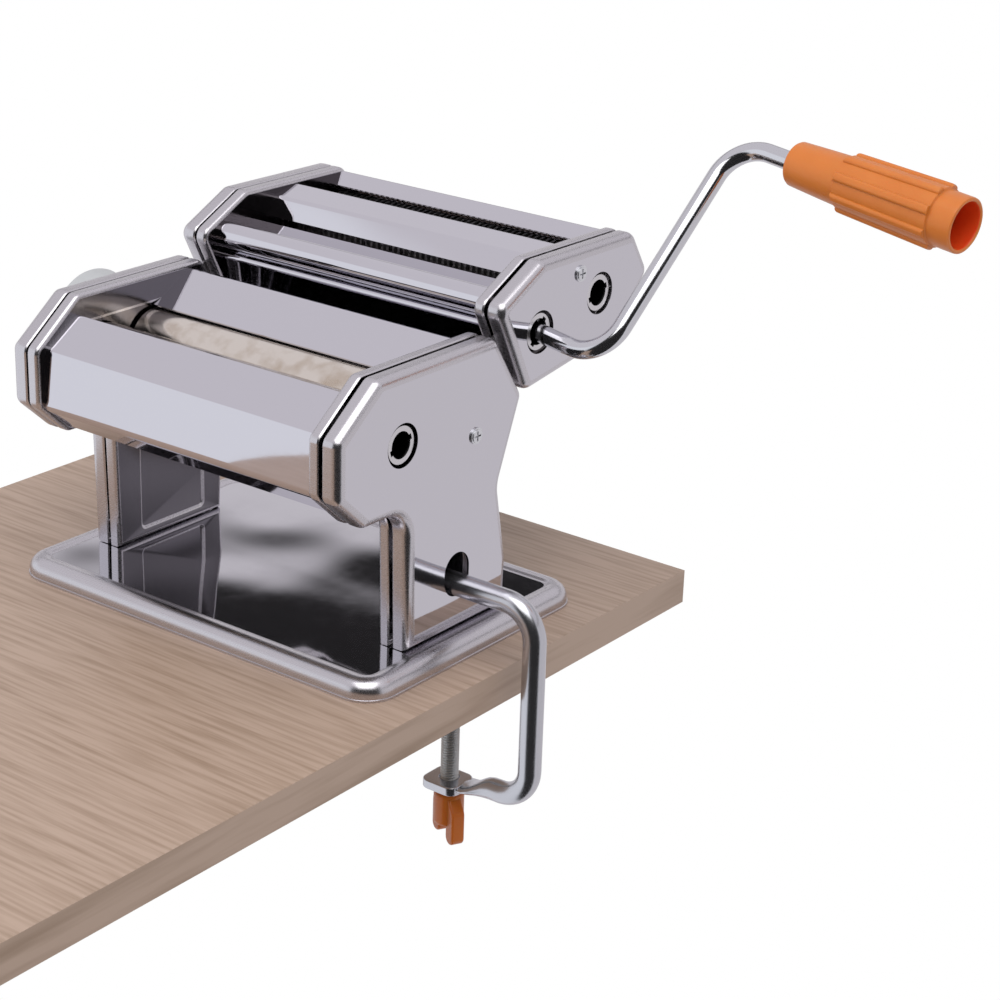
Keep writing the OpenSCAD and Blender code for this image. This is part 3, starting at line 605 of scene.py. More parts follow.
# the rims on the crank side are eased back so that the seam shows
SEAM_EASE = {1: 0.4, -1: 0.0}
COVER_ROUND, FRAME_ROUND = 4.2, 2.0
pressed_pan("pressed_cover_right", BODY_CORNERS, COVER_X + SEAM_EASE[1], FACE_X, COVER_ROUND,
            [(*FRONT_AXIS, RING_HOLE_R), CLAMP_SLOT], "machine", "cover_right")
pressed_pan("pressed_cover_left", BODY_CORNERS, COVER_X + SEAM_EASE[-1], FACE_X, COVER_ROUND,
            [(*REAR_AXIS, SPINDLE_HOLE_R), *INDEX_HOLES], "machine", "cover_left", side=-1)
pressed_pan("pressed_frame_right", BODY_CORNERS, FLANGE_X - SEAM_EASE[1], FRAME_X, FRAME_ROUND,
            [(*FRONT_AXIS, BUSH_HOLE_R), AXLE_SLOT, CLAMP_SLOT], "machine", "inner_frame_right",
            recess=(RECESS_CORNERS, RECESS_DEPTH), flat=ROLLED)
pressed_pan("pressed_frame_left", BODY_CORNERS, FLANGE_X - SEAM_EASE[-1], FRAME_X, FRAME_ROUND,
            [(*FRONT_AXIS, BUSH_HOLE_R), CAM_SLOT], "machine", "inner_frame_left",
            recess=(RECESS_CORNERS, RECESS_DEPTH), side=-1, flat=ROLLED)

# %% [markdown]
# The cutter head has the same four pans in a smaller outline. Left and right
# differ only by the two rings for the crank, so a loop makes both.

# %% Covers and frames of the cutter head
CUTTER_CORNERS = [(21.6, 141.9, 5.5), (51, 156.8, 5.5), (118.5, 156.3, 5.5), (131.2, 136.4, 5.5),
                  (105.6, 111, 5.5), (42, 101.8, 5.5)]
WIDE_AXIS, NARROW_AXIS = (49.8, 126.8), (92.6, 134.4)
CUTTER_SHAFTS = [WIDE_AXIS, (69.2, 126.8), NARROW_AXIS, (112.125, 136.108)]
SHAFT_HOLE_R = 6.0
for hand, side in (("right", 1), ("left", -1)):
    rings = [(*WIDE_AXIS, RING_HOLE_R), (*NARROW_AXIS, RING_HOLE_R)] if side > 0 else []
    pressed_pan("pressed_cutter_cover_" + hand, CUTTER_CORNERS, COVER_X + SEAM_EASE[side], FACE_X,
                COVER_ROUND, rings, "cutter_head", "cutter_cover_" + hand, side=side)
    pressed_pan("pressed_cutter_frame_" + hand, CUTTER_CORNERS, FLANGE_X - SEAM_EASE[side],
                FRAME_X, FRAME_ROUND, [(*shaft, SHAFT_HOLE_R) for shaft in CUTTER_SHAFTS],
                "cutter_head", "cutter_frame_" + hand, side=side, flat=OILED)

# %% [markdown]
# The base is one pressed plate. A round bead runs along its edge, and a thin
# hem under the bead stands on the table. A profile could be swept round the
# outline, but the corners would then need care. Instead the plate grows from
# a rounded rectangle by insets, each of which also lifts the middle a little.

# %% Base plate
HALF_W, HALF_D, BASE_R, BASE_STEPS = 104.0, 72.0, 15.0, 12
HEM_H = 1.0
BEAD_IN, BEAD_R, BEAD_Z = 6.3, 5.95, 2.6
# steps of (how far in, how high) along the section: hem, bead, plateau
section = [(0.0, HEM_H), (0.35, HEM_H + 0.15)]
section += [on_circle((BEAD_IN, BEAD_Z), BEAD_R, degrees) for degrees in range(180, 59, -10)]
section += [(9.9, PLATEAU_Z + 0.04), (10.7, PLATEAU_Z)]
bm = bmesh.new()
bottom = rounded_face(bm, [(-HALF_W, -HALF_D, BASE_R), (HALF_W, -HALF_D, BASE_R),
                           (HALF_W, HALF_D, BASE_R), (-HALF_W, HALF_D, BASE_R)],
                      level(0.0), steps=BASE_STEPS)
made = bmesh.ops.extrude_face_region(bm, geom=[bottom])["geom"]
bmesh.ops.translate(bm, vec=(0, 0, section[0][1]), verts=new_verts(made))
top = max(bm.faces, key=lambda f: f.calc_center_median().z)
for before, after in zip(section, section[1:]):
    bmesh.ops.inset_region(bm, faces=[top], thickness=after[0] - before[0], use_even_offset=True)
    bmesh.ops.translate(bm, vec=(0, 0, after[1] - before[1]), verts=top.verts)
under = [f for f in bm.faces if all(abs(v.co.z) < SAME_MM for v in f.verts)]
bmesh.ops.delete(bm, geom=under, context="FACES_ONLY")
for face in bm.faces:
    face.material_index = 0 if face == top else 1
finish_piece("pressed_base", bm, [MIRROR, RIM], "machine", "base", wall=SHEET, sharp=50.0)

# %% [markdown]
# The panels between the sides are strips of 0.8 mm sheet with soft folds. An
# edge as long as the machine is wide is extruded from fold to fold, and the
# folds are bevelled. Bending a grid with a modifier would also give soft
# folds, but the flats between them would no longer be truly flat, and a
# mirror shows that at once.

# %% Helper: a folded panel
PANEL_T, FOLD_STEPS = 0.8, 6


def folded_panel(name, path, radius, body, node):
    """A strip folded along X through (y, z) points, with bends of this radius."""
    bm = bmesh.new()
    edge = bm.edges.new([bm.verts.new((x, *path[0])) for x in (-FRAME_X, FRAME_X)])
    folds = []
    for here, there in zip(path, path[1:]):
        made = bmesh.ops.extrude_edge_only(bm, edges=[edge])["geom"]
        bmesh.ops.translate(bm, vec=(0, there[0] - here[0], there[1] - here[1]),
                            verts=new_verts(made))
        edge = new_edges(made)[0]
        folds.append(edge)
    if radius:
        soften(bm, folds[:-1], radius, FOLD_STEPS)
    bmesh.ops.recalc_face_normals(bm, faces=bm.faces)
    bm.normal_update()
    for v, normal in [(v, v.normal.copy()) for v in bm.verts]:
        v.co += normal * PANEL_T / 2
    return finish_piece(name, bm, [MIRROR], body, node, wall=PANEL_T)


print("panels are", PANEL_T, "mm thick")

# %% Folded panels
PANELS = [
    ("front_panel", "machine", 2.4,
     [(-57.4, 120.2), (-55.2, 123.6), (-73.4, 110.6), (-75.2, 85.4), (-62.5, 74.6)]),
    ("rear_panel", "machine", 1.4, [(-9.2, 116.4), (15.2, 128.1), (34.6, 101), (23.2, 72)]),
    ("cutter_rear_panel", "cutter_head", 1.4,
     [(109.6, 149.4), (117.6, 154.6), (128.4, 136.8), (122.2, 130.4)]),
    ("cutter_centre_panel", "cutter_head", 1.2,
     [(85.6, 148.4), (85.2, 154.1), (69.6, 151.3), (65.1, 142.8)]),
    ("cutter_lower_panel", "cutter_head", 1.4,
     [(36.5, 132.6), (33.4, 130.6), (43, 104.9), (47.5, 105.5)]),
]
for node, body, radius, path in PANELS:
    folded_panel("folded_" + node, path, radius, body, node)

# %% [markdown]
# The nose panel isn't folded but rolled: the dough slides over its round
# front edge. Its section is half a circle with a flat behind it, so the same
# helper draws it through many points and needs no bevel.

# %% Nose panel of the cutter head
NOSE_AXIS, NOSE_R = (37.2, 139.4), 6.1 - PANEL_T / 2
nose = [(54.0, 138.6), (54.0, 143.2)]
nose += [on_circle(NOSE_AXIS, NOSE_R, degrees) for degrees in range(90, 271, 10)]
nose.append((39.0, 133.7))
folded_panel("rolled_nose_panel", nose, 0.0, "cutter_head", "cutter_nose_panel")

# %% [markdown]
# The crank and the clamp are bent from round bar. A curve with a bevel depth
# would make a bar too, but it can't end in a forged plate. So a ring of edges
# is extruded along each straight and spun round each bend, just as the bar
# was bent in the shop.

# %% Helper: a bent bar
BAR_SIDES, BEND_STEPS = 40, 18


def bar_end(bm, centre, radius):
    """The round end of a bar that starts along X."""
    place = Matrix.Translation(centre) @ Matrix.Rotation(math.radians(90), 4, "Y")
    return edges_at(bmesh.ops.create_circle(bm, cap_ends=True, radius=radius, segments=BAR_SIDES,
                                            matrix=place)["verts"])


def straight(bm, ring, way):
    """Draw the ring out along a vector; returns the new ring."""
    made = bmesh.ops.extrude_edge_only(bm, edges=ring)["geom"]
    bmesh.ops.translate(bm, vec=way, verts=new_verts(made))
    return new_edges(made)


def verts_of(ring):
    """The vertices of a ring of edges, once each and in a fixed order."""
    return list(dict.fromkeys(v for edge in ring for v in edge.verts))


def bend(bm, ring, centre, axis, degrees):
    """Spin the ring round a bend; returns the last ring."""
    made = bmesh.ops.spin(bm, geom=verts_of(ring) + ring, cent=centre, axis=axis,
                          angle=math.radians(degrees), steps=BEND_STEPS, use_merge=False,
                          use_duplicate=False)["geom_last"]
    return new_edges(made)


print("bars are drawn with", BAR_SIDES, "sides")

# %% [markdown]
# The crank has two bends and two flat ears that fit the slots of the ring it
# is plugged into. It sags and leans a little in that loose ring, so it is
# drawn flat, with its root along X, and then turned into place as one piece.

# %% Crank rod
CRANK_R, CRANK_BEND = 4.0, 17.0
CRANK_ROOT, CRANK_ARM, CRANK_NECK = 33.9, 108.5, 31.0
CRANK_SAG = 0.5
ROD_IN_SOCKET, ROD_IN_GRIP = 9.6, 25.5
EARS, EARS_IN = (3.0, 11.0, 1.2), 7.1
lean = Vector((0.987, -0.121, -0.102)).normalized()
arm_toward = Vector((0.156, 0.624, 0.765))
arm_way = (arm_toward - lean * arm_toward.dot(lean)).normalized()
first_bend = Vector((FACE_X + 1, WIDE_AXIS[0], WIDE_AXIS[1] - CRANK_SAG)) + lean * CRANK_ROOT
crank_turn = Matrix((lean, arm_way, lean.cross(arm_way))).transposed()
crank_place = Matrix.Translation(first_bend) @ crank_turn.to_4x4()
bm = bmesh.new()
ring = bar_end(bm, (-CRANK_ROOT - ROD_IN_SOCKET, 0, 0), CRANK_R)
ring = straight(bm, ring, (CRANK_ROOT + ROD_IN_SOCKET - CRANK_BEND, 0, 0))
ring = bend(bm, ring, (-CRANK_BEND, CRANK_BEND, 0), (0, 0, 1), 90)
ring = straight(bm, ring, (0, CRANK_ARM - 2 * CRANK_BEND, 0))
ring = bend(bm, ring, (CRANK_BEND, CRANK_ARM - CRANK_BEND, 0), (0, 0, 1), -90)
ring = straight(bm, ring, (CRANK_NECK + ROD_IN_GRIP - CRANK_BEND, 0, 0))
bmesh.ops.contextual_create(bm, geom=ring)
ears = bmesh.ops.create_cube(bm, size=1.0)["verts"]
bmesh.ops.scale(bm, vec=EARS, verts=ears)
bmesh.ops.translate(bm, vec=(-CRANK_ROOT - EARS_IN, 0, 0), verts=ears)
bmesh.ops.transform(bm, matrix=crank_place, verts=bm.verts)
finish_piece("bent_crank_rod", bm, [CHROME], "crank", "crank_rod")

# %% [markdown]
# The lower end of the clamp rod is forged flat into a plate with a hole for
# the clamp screw. Bar and plate could be two pieces that overlap, but then
# the neck between them would show a hard step. So the last ring of the bar is
# drawn out and squeezed, step by step, until it ends inside the plate, whose
# square edges are bevelled.

# %% Clamp rod and its eye plate
CLAMP_R, CLAMP_BEND, CLAMP_Y, CLAMP_X = 5.0, 15.0, -3.0, 133.5
CLAMP_TOP_Z, CLAMP_LEG_Z = 28.9, -60.0
CLAMP_END_X = FRAME_X + 0.2
SCREW_X, SCREW_R, SCREW_PLAY = 91.0, 4.0, 0.3
EYE_X, EYE_Y, EYE_CORNER = (82, 100.5), (-13, 4), 4.5
EYE_TOP, EYE_T, EYE_ROUND = -62.0, 4.2, 0.7
# an edge that turns by more than this, in radians, is square
SQUARE_EDGE = 1.3
# each step is how far along, how far down, how much wider, how much thinner
NECK = ((4, 0.1, 1.0, 0.98), (3, 0.5, 1.05, 0.92), (3, 1.0, 1.1, 0.8), (3, 1.2, 1.12, 0.74),
        (3, 0.8, 1.1, 0.76), (5, 0.4, 1.0, 0.85))
bm = bmesh.new()
ring = bar_end(bm, (CLAMP_END_X, CLAMP_Y, CLAMP_TOP_Z), CLAMP_R)
ring = straight(bm, ring, (CLAMP_X - CLAMP_BEND - CLAMP_END_X, 0, 0))
ring = bend(bm, ring, (CLAMP_X - CLAMP_BEND, CLAMP_Y, CLAMP_TOP_Z - CLAMP_BEND), (0, 1, 0), 90)
ring = straight(bm, ring, (0, 0, CLAMP_LEG_Z - CLAMP_TOP_Z + 2 * CLAMP_BEND))
ring = bend(bm, ring, (CLAMP_X - CLAMP_BEND, CLAMP_Y, CLAMP_LEG_Z + CLAMP_BEND), (0, 1, 0), 90)
for along, down, wider, thinner in NECK:
    ring = straight(bm, ring, (-along, 0, -down))
    squeezed = verts_of(ring)
    middle = sum((v.co for v in squeezed), Vector()) / len(squeezed)
    bmesh.ops.scale(bm, vec=(1, wider, thinner), verts=squeezed,
                    space=Matrix.Translation(-middle))
bmesh.ops.contextual_create(bm, geom=ring)
edges = rounded_loop(bm, [(EYE_X[0], EYE_Y[0], EYE_CORNER), (EYE_X[1], EYE_Y[0], EYE_CORNER),
                          (EYE_X[1], EYE_Y[1], EYE_CORNER), (EYE_X[0], EYE_Y[1], EYE_CORNER)],
                     level(EYE_TOP))
hole = bmesh.ops.create_circle(bm, cap_ends=False, radius=SCREW_R + SCREW_PLAY, segments=32,
                               matrix=Matrix.Translation((SCREW_X, CLAMP_Y, EYE_TOP)))["verts"]
filled = bmesh.ops.triangle_fill(bm, use_beauty=True, edges=edges + edges_at(hole),
                                 normal=(0, 0, 1))["geom"]
faces = [part for part in filled if isinstance(part, bmesh.types.BMFace)]
thick = bmesh.ops.extrude_face_region(bm, geom=faces)["geom"]
bmesh.ops.translate(bm, vec=(0, 0, -EYE_T), verts=new_verts(thick))
square = [e for e in bm.edges if e.calc_face_angle(0) > SQUARE_EDGE]
rims = [e for e in square for z in (EYE_TOP, EYE_TOP - EYE_T)
        if all(abs(v.co.z - z) < SAME_MM for v in e.verts)]
soften(bm, rims, EYE_ROUND, 3)
finish_piece("forged_clamp_rod", bm, [DULL_CHROME], "clamp_hook", "clamp_rod")

# %% [markdown]
# The screw has a real thread of 1.25 mm. Rings stacked along it would look
# the same from afar, but a thread climbs. One tooth of its section is spun
# round the axis and lifted by one pitch at each turn, and the turns are
# merged. Three short cylinders are its foot in the wing, its neck and its tip.

# %% Clamp screw
PITCH, THREAD_STEPS = 1.25, 24
THREAD_LOW, THREAD_TOP = -78.0, -22.0
ROOT_R = SCREW_R - 0.7
TOOTH = ((ROOT_R, 0.0), (SCREW_R, 0.52), (SCREW_R, 0.68), (ROOT_R, 1.2), (ROOT_R, PITCH))
# the middle's height, radius and length of each cylinder
PLAIN_PARTS = ((THREAD_LOW + 1.0, SCREW_R - 0.02, 2.0), (THREAD_TOP + 0.6, SCREW_R - 0.25, 2.2),
               (-20.0, 2.5, 2.4))
turns = int((THREAD_TOP - THREAD_LOW) / PITCH)
bm = bmesh.new()
chain = [bm.verts.new((SCREW_X + r, CLAMP_Y, THREAD_LOW + z)) for r, z in TOOTH]
edges = [bm.edges.new(pair) for pair in zip(chain, chain[1:])]
bmesh.ops.spin(bm, geom=chain + edges, cent=(SCREW_X, CLAMP_Y, 0), axis=(0, 0, 1),
               dvec=(0, 0, PITCH / THREAD_STEPS), angle=math.radians(360 * turns),
               steps=THREAD_STEPS * turns, use_merge=False, use_duplicate=False)
bmesh.ops.remove_doubles(bm, verts=bm.verts, dist=MERGE_MM)
bmesh.ops.holes_fill(bm, edges=[e for e in bm.edges if e.is_boundary], sides=0)
for z_middle, radius, length in PLAIN_PARTS:
    bmesh.ops.create_cone(bm, cap_ends=True, segments=32, radius1=radius, radius2=radius,
                          depth=length,
                          matrix=Matrix.Translation((SCREW_X, CLAMP_Y, z_middle)))
finish_piece("threaded_clamp_screw", bm, [GALVANISED], "clamp_thumbscrew", "clamp_screw",
             sharp=28.0)

# %% [markdown]
# A coil spring inside the knob pulls its pin into the index holes. It is made as the thread was:
# one round section of the wire is spun round the axis and moved on at each step. When the knob is
# pulled out, the spring is pressed against its end screw; here its coils are drawn evenly spaced.

# %% Knob spring
SPRING_R, WIRE_R, SPRING_PITCH, COILS, COIL_STEPS = 6.0, 0.6, 2.25, 4.0, 20
SPRING_INNER_X, SPRING_OUTER_X = -104.8, -114.6
wire_place = Matrix.Translation((SPRING_R, 0, 0)) @ Matrix.Rotation(math.radians(90), 4, "X")
bm = bmesh.new()
wire = bmesh.ops.create_circle(bm, cap_ends=True, radius=WIRE_R, segments=10,
                               matrix=wire_place)["verts"]
coil = bmesh.ops.spin(bm, geom=wire + edges_at(wire), cent=(0, 0, 0), axis=(0, 0, 1),
                      dvec=(0, 0, SPRING_PITCH / COIL_STEPS), angle=math.radians(360 * COILS),
                      steps=int(COIL_STEPS * COILS), use_merge=False,
                      use_duplicate=False)["geom_last"]
bmesh.ops.contextual_create(bm, geom=new_edges(coil))
bmesh.ops.rotate(bm, cent=(0, 0, 0), matrix=Matrix.Rotation(math.radians(-90), 3, "Y"),
                 verts=bm.verts)
bmesh.ops.translate(bm, vec=(SPRING_INNER_X, *REAR_AXIS), verts=bm.verts)
spring = finish_piece("coiled_knob_spring", bm, [ZINC], "adjuster", "knob_spring")
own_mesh(spring)

# %% [markdown]
# The wing is moulded on the screw: a round hub and two thick lobes that hang
# below it. Sculpting or a subdivision surface could make them soft, but the
# lobes have flat sides with a plain radius. So a lobe is one outline,
# extruded and then bevelled all round, and the hub is spun from its section.

# %% Helper: a turned shape
def turned(bm, profile, steps):
    """Spin (radius, height) points once round Z."""
    chain = [bm.verts.new((r, 0, h)) for r, h in profile]
    edges = [bm.edges.new(pair) for pair in zip(chain, chain[1:])]
    bmesh.ops.spin(bm, geom=chain + edges, cent=(0, 0, 0), axis=(0, 0, 1), angle=math.radians(360),
                   steps=steps, use_merge=True, use_duplicate=False)


def turn_about_z(bm, verts, degrees):
    """Turn vertices round the Z axis."""
    bmesh.ops.rotate(bm, cent=(0, 0, 0), matrix=Matrix.Rotation(math.radians(degrees), 3, "Z"),
                     verts=verts)


print("helpers: turned, turn_about_z")

# %% Wing of the clamp screw
WING_T, WING_ROUND, WING_TURN = 6.2, 2.4, -28
HUB = [(0, -84.5), (5.2, -84.5), (6.3, -83.9), (6.7, -82.6), (6.7, -70.6), (6.2, -69.1),
       (4.9, -68.6), (4.1, -68.6), (4.1, -70.5), (0, -70.5)]
LOBE = [(0.5, -70.0, 0), (5.6, -69.6, 3.0), (10.7, -76.0, 4.0), (10.7, -91.7, 3.3),
        (3.7, -91.7, 3.3), (3.7, -84.0, 1.0), (0.5, -84.0, 0)]
bm = bmesh.new()
turned(bm, HUB, steps=48)
for half_turn in (0, 180):
    others = set(bm.verts)
    lobe = rounded_face(bm, LOBE, facing(WING_T / 2), steps=5)
    thick = bmesh.ops.extrude_face_region(bm, geom=[lobe])["geom"]
    bmesh.ops.translate(bm, vec=(0, -WING_T, 0), verts=new_verts(thick))
    verts = list(dict.fromkeys([*lobe.verts, *new_verts(thick)]))
    around = [e for e in edges_at(verts) if abs(e.verts[0].co.y - e.verts[1].co.y) < SAME_MM]
    soften(bm, around, WING_ROUND, 5)
    turn_about_z(bm, [v for v in bm.verts if v not in others], half_turn)
turn_about_z(bm, bm.verts, WING_TURN)
bmesh.ops.translate(bm, vec=(SCREW_X, CLAMP_Y, 0), verts=bm.verts)
finish_piece("moulded_wing", bm, [AMBER], "clamp_thumbscrew", "clamp_wing", sharp=60.0)

# %% [markdown]
# The grip is a tapered moulded tube, open at its far end, with eight low ribs
# on a band that stands a little proud. The tube is turned from its section,
# outside and inside in one line, which also gives its wall. The ribs could be
# part of a star-shaped section, but they stop short of both ends. So each is
# a thin block, tapered with the tube and bevelled round its top.

# %% Grip
GRIP_LEN, GRIP_WALL, RIBS, RIB_PHASE = 84.0, 22.0, 8, 22.0
ROD_HOLE_R = CRANK_R + 0.35
# heights where the band starts and ends, and the inside's widest radius
BAND_FROM, BAND_TO, MOUTH_R = 26.2, GRIP_LEN - 11.2, 9.7
RIB_SIZE = (4.0, 3.8, GRIP_LEN - 37.5)
RIB_MIDDLE = (10.6, 0, (GRIP_LEN - 11 + 26.5) / 2)
RIB_TAPER, RIB_ROUND, RIB_TOP_R = 1.1, 1.4, 11.5
SECTION = [(ROD_HOLE_R, GRIP_WALL), (ROD_HOLE_R, 0.4), (CRANK_R + 0.8, 0), (8.0, 0), (8.9, 0.3),
           (9.4, 1.2), (10.0, 13), (10.6, BAND_FROM), (11.3, BAND_FROM + 0.5), (12.4, BAND_TO),
           (11.5, BAND_TO + 0.5), (11.55, GRIP_LEN - 1.2), (11.4, GRIP_LEN - 0.35),
           (10.9, GRIP_LEN), (10.3, GRIP_LEN), (9.8, GRIP_LEN - 0.4), (9.6, GRIP_LEN - 1.2),
           (9.6, GRIP_WALL), (ROD_HOLE_R, GRIP_WALL)]
grip_side = lean.cross(Vector((0, 0, 1))).normalized()
grip_turn = Matrix((grip_side, lean.cross(grip_side), lean)).transposed().to_4x4()
grip_from = first_bend + arm_way * CRANK_ARM + lean * CRANK_NECK
bm = bmesh.new()
turned(bm, SECTION, steps=96)
# faces in the hollow take the lighter orange of the painted glow
for face in bm.faces:
    x, y, z = face.calc_center_median()
    face.material_index = 1 if math.hypot(x, y) < MOUTH_R and z > GRIP_WALL - 1 else 0
for i in range(RIBS):
    others = set(bm.verts)
    block = bmesh.ops.create_cube(bm, size=1.0)["verts"]
    bmesh.ops.scale(bm, vec=RIB_SIZE, verts=block)
    bmesh.ops.translate(bm, vec=RIB_MIDDLE, verts=block)
    far_end = [v for v in block if v.co.z > RIB_MIDDLE[2]]
    bmesh.ops.translate(bm, vec=(RIB_TAPER, 0, 0), verts=far_end)
    top_edges = [e for e in edges_at(block) if all(v.co.x > RIB_TOP_R for v in e.verts)]
    soften(bm, top_edges, RIB_ROUND, 5)
    turn_about_z(bm, [v for v in bm.verts if v not in others], RIB_PHASE + i * 360 / RIBS)
bmesh.ops.transform(bm, matrix=Matrix.Translation(grip_from) @ grip_turn, verts=bm.verts)
finish_piece("ribbed_grip", bm, [ORANGE, GRIP_INSIDE_PAINTED_GLOW], "crank_grip", "grip", sharp=40.0)

# %% [markdown]
# The machine stands near the edge of a pale board, so that the clamp can
# reach round it. The board belongs to the stage. Its grain could be one
# turned pattern, but the top shows long grain and the edge short end grain,
# so each has its own material: a noise that is stretched along the fibres.

# %% Stage: the board
BOARD_LOW = Vector((-186, -700, -15.8)) * MM
BOARD_HIGH = Vector((121, 130, 0)) * MM
FIBRE_MM = 2.6


def board_paint(name, stretch):
    """Pale wood whose fibres run where the scale is small."""
    material, place = new_material(name)
    drawn = add_node(material, "ShaderNodeMapping", {"Scale": stretch}, {"Vector": place})
    fibres = add_node(material, "ShaderNodeTexNoise", {"Scale": 1000 / FIBRE_MM, "Detail": 3.0},
                      {"Vector": drawn.outputs["Vector"]})
    lines = add_node(material, "ShaderNodeMapRange", {"From Min": 0.40, "From Max": 0.72},
                     {"Value": fibres.outputs["Fac"]})
    tint = add_node(material, "ShaderNodeMix", {MIX_A: linear("BAA190"), MIX_B: linear("9E8572")},
                    {MIX_FACTOR: lines.outputs["Result"]}, data_type="RGBA")
    wood = add_node(material, "ShaderNodeBsdfPrincipled", {"Roughness": 0.38},
                    {"Base Color": tint.outputs[MIX_COLOUR]})
    add_node(material, "ShaderNodeOutputMaterial", {}, {"Surface": wood.outputs["BSDF"]})
    return material


bm = bmesh.new()
bmesh.ops.create_cube(bm, size=1.0)
bmesh.ops.scale(bm, vec=BOARD_HIGH - BOARD_LOW, verts=bm.verts)
bmesh.ops.translate(bm, vec=(BOARD_HIGH + BOARD_LOW) / 2, verts=bm.verts)
mesh = bpy.data.meshes.new("board")
bm.to_mesh(mesh)
bm.free()
mesh.materials.append(board_paint("pale_board_top", (0.05, 1.0, 1.0)))
mesh.materials.append(board_paint("pale_board_edge", (1.0, 0.03, 0.4)))
for side in mesh.polygons:
    side.material_index = 0 if abs(side.normal.z) > 0.5 else 1
board = bpy.data.objects.new("board", mesh)
bpy.context.scene.collection.objects.link(board)
print("board is", round((BOARD_HIGH.z - BOARD_LOW.z) / MM, 1), "mm thick")

# %% [markdown]
# Polished metal shows the room more than itself. A product studio is bright
# behind the object and overhead, with a dark gap above the white sweep and a
# dark side where the camera stands. Real walls and cards could stand there,
# but they would shade the object too. The world holds that room for glossy
# rays only: the object is lit evenly, and the camera sees plain white. Each
# border in the room is a soft step of the ray's height or direction, and the
# parts of the room are laid over each other through those steps.

# %% Light: the room
EVEN_LIGHT = (0.55, 0.55, 0.55, 1.0)
WHITE = (1.0, 1.0, 1.0, 1.0)
FRONT_SWEEP, BACK_SWEEP = linear("F7F9FF"), linear("DDDADE")
CEILING, DARK_SIDE = linear("E2DFE5"), linear("272627")
# heights are sines of the angle over the horizon
SWEEP_TOP, GAP_TOP, DARK_SIDE_TOP = 0.393, 0.46, 0.80
DARK_SIDE_TOWARD, DARK_SIDE_EDGE = (0.60, -0.80, 0.0), 0.66
world = bpy.data.worlds.new("studio_room")
bpy.context.scene.world = world
world.use_nodes = True
world.node_tree.nodes.clear()
way = add_node(world, "ShaderNodeTexCoord").outputs["Generated"]
axes = add_node(world, "ShaderNodeSeparateXYZ", {}, {"Vector": way}).outputs
flat_way = add_node(world, "ShaderNodeVectorMath", {1: (1.0, 1.0, 0.0)}, {0: way},
                    operation="MULTIPLY").outputs["Vector"]
unit_way = add_node(world, "ShaderNodeVectorMath", {}, {0: flat_way},
                    operation="NORMALIZE").outputs["Vector"]
toward_dark = add_node(world, "ShaderNodeVectorMath", {1: DARK_SIDE_TOWARD}, {0: unit_way},
                       operation="DOT_PRODUCT").outputs["Value"]
steps = {}
for name, value, edge, width in (
        ("over_sweep", axes["Z"], SWEEP_TOP, 0.02), ("over_gap", axes["Z"], GAP_TOP, 0.03),
        ("over_dark_side", axes["Z"], DARK_SIDE_TOP, 0.15), ("behind", axes["Y"], 0.0, 0.3),
        ("far_behind", axes["Y"], 0.1, 0.2), ("to_dark_side", toward_dark, DARK_SIDE_EDGE, 0.10)):
    steps[name] = add_node(world, "ShaderNodeMapRange",
                           {"From Min": edge - width / 2, "From Max": edge + width / 2},
                           {"Value": value}, interpolation_type="SMOOTHSTEP").outputs["Result"]
in_gap = add_node(world, "ShaderNodeMath", {}, {0: steps["over_sweep"], 1: steps["far_behind"]},
                  operation="MULTIPLY").outputs[0]
under_top = add_node(world, "ShaderNodeMath", {0: 1.0}, {1: steps["over_dark_side"]},
                     operation="SUBTRACT").outputs[0]
at_dark_side = add_node(world, "ShaderNodeMath", {}, {0: steps["to_dark_side"], 1: under_top},
                        operation="MULTIPLY").outputs[0]
room = add_node(world, "ShaderNodeMix", {MIX_A: FRONT_SWEEP, MIX_B: BACK_SWEEP},
                {MIX_FACTOR: steps["behind"]}, data_type="RGBA").outputs[MIX_COLOUR]
for colour, cover in ((DARK_SIDE, in_gap), (CEILING, steps["over_gap"]),
                      (DARK_SIDE, at_dark_side)):
    room = add_node(world, "ShaderNodeMix", {MIX_B: colour}, {MIX_A: room, MIX_FACTOR: cover},
                    data_type="RGBA").outputs[MIX_COLOUR]
ray = add_node(world, "ShaderNodeLightPath").outputs
white_ray = add_node(world, "ShaderNodeMath", {},
                     {0: ray["Is Camera Ray"], 1: ray["Is Transmission Ray"]},
                     operation="MAXIMUM").outputs[0]
shown = add_node(world, "ShaderNodeMix", {MIX_A: EVEN_LIGHT},
                 {MIX_B: room, MIX_FACTOR: ray["Is Glossy Ray"]},
                 data_type="RGBA").outputs[MIX_COLOUR]
shown = add_node(world, "ShaderNodeMix", {MIX_B: WHITE}, {MIX_A: shown, MIX_FACTOR: white_ray},
                 data_type="RGBA").outputs[MIX_COLOUR]
background = add_node(world, "ShaderNodeBackground", {"Strength": 1.0}, {"Color": shown})
add_node(world, "ShaderNodeOutputWorld", {}, {"Surface": background.outputs["Background"]})
print("the room is built from", len(world.node_tree.nodes), "nodes")

# %% [markdown]
# The even light of the world has no direction, so shapes would look flat.
# Two large, soft area lamps model them: a key lamp over the camera's right
# shoulder, and a weak fill lamp on the left. A sun lamp would do, but its
# shadows are hard. The fill lamp is hidden from glossy rays, so that the
# steel doesn't mirror it.

# %% Light: the soft lamps
KEY_AT, KEY_TARGET, KEY_SIZE, KEY_POWER = (0.45, -0.55, 1.4), (0.0, 0.0, 0.05), 1.4, 12.0
FILL_AT, FILL_TARGET, FILL_SIZE, FILL_POWER = (-0.9, -0.8, 0.9), (0.0, 0.0, 0.08), 0.9, 5.0


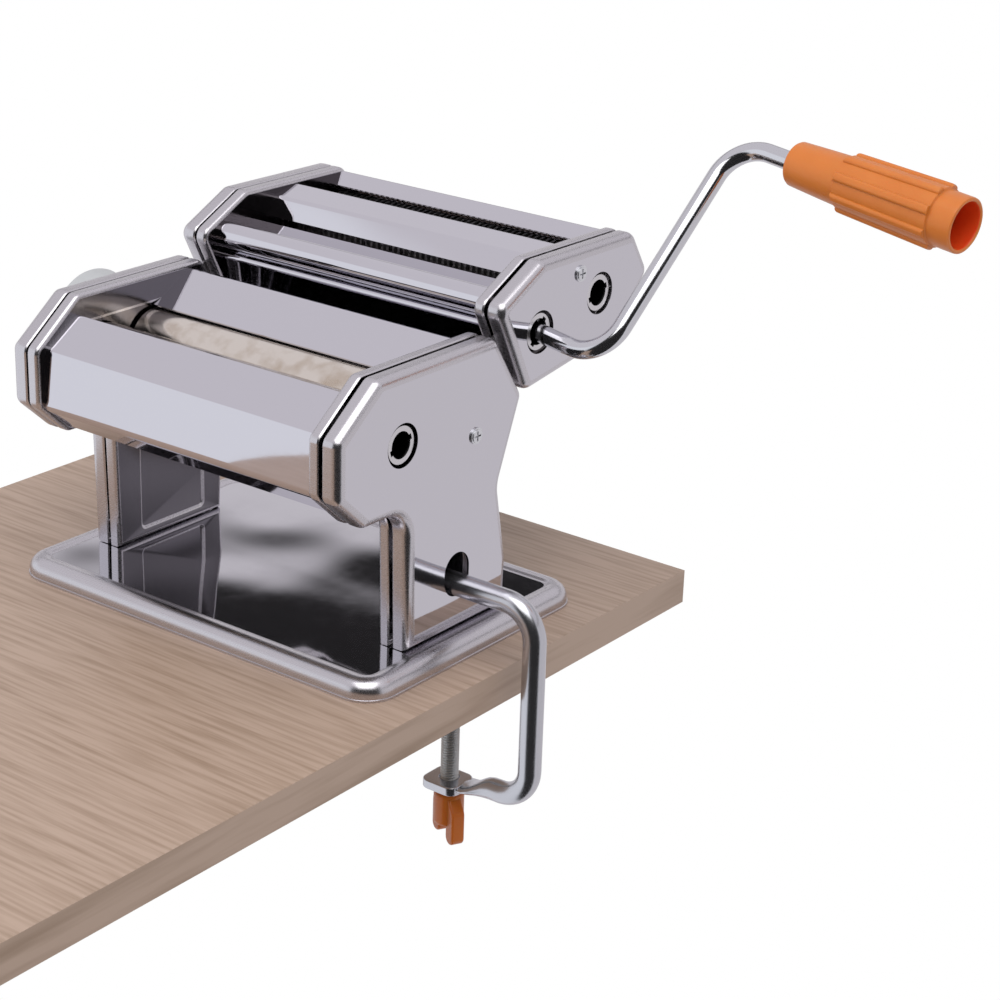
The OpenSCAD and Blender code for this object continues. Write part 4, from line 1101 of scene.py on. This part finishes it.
def soft_lamp(name, place, target, size, power):
    """A square area lamp aimed at a point."""
    light = bpy.data.lights.new(name, "AREA")
    light.shape = "SQUARE"
    light.size = size
    light.energy = power
    lamp = bpy.data.objects.new(name, light)
    bpy.context.scene.collection.objects.link(lamp)
    lamp.location = place
    lamp.rotation_mode = "QUATERNION"
    lamp.rotation_quaternion = (Vector(target) - Vector(place)).to_track_quat("-Z", "Y")
    return lamp


key_lamp = soft_lamp("key_lamp", KEY_AT, KEY_TARGET, KEY_SIZE, KEY_POWER)
fill_lamp = soft_lamp("fill_lamp", FILL_AT, FILL_TARGET, FILL_SIZE, FILL_POWER)
fill_lamp.visible_glossy = False
print("lamps", key_lamp.name, fill_lamp.name)

# %% [markdown]
# The camera stands to the right and above, with a long lens that keeps the
# sides nearly parallel. It could be aimed by a Track To constraint, but it is
# also rolled by two degrees. So its three axes are worked out from where it
# looks and how far it is rolled.

# %% Camera
CAMERA_AT = Vector((651.22, -726.90, 432.52)) * MM
AZIMUTH, ELEVATION, ROLL = (math.radians(a) for a in (36.62, 21.77, -1.94))
LENS_MM = 85.94
NEAREST, FARTHEST = 0.05, 20.0
back = Vector((math.sin(AZIMUTH) * math.cos(ELEVATION), -math.cos(AZIMUTH) * math.cos(ELEVATION),
               math.sin(ELEVATION)))
level_right = (-back).cross(Vector((0, 0, 1))).normalized()
level_up = back.cross(level_right)
right = math.cos(ROLL) * level_right - math.sin(ROLL) * level_up
up = math.sin(ROLL) * level_right + math.cos(ROLL) * level_up
camera_data = bpy.data.cameras.new("camera")
camera_data.lens = LENS_MM
camera_data.clip_start = NEAREST
camera_data.clip_end = FARTHEST
camera = bpy.data.objects.new("camera", camera_data)
bpy.context.scene.collection.objects.link(camera)
turn = Matrix((right, up, back)).transposed().to_4x4()
camera.matrix_world = Matrix.Translation(CAMERA_AT) @ turn
bpy.context.scene.camera = camera
bpy.context.scene.view_settings.view_transform = "Standard"
print("camera", round((CAMERA_AT - Vector((0, 0, 0.1))).length, 3), "m away")
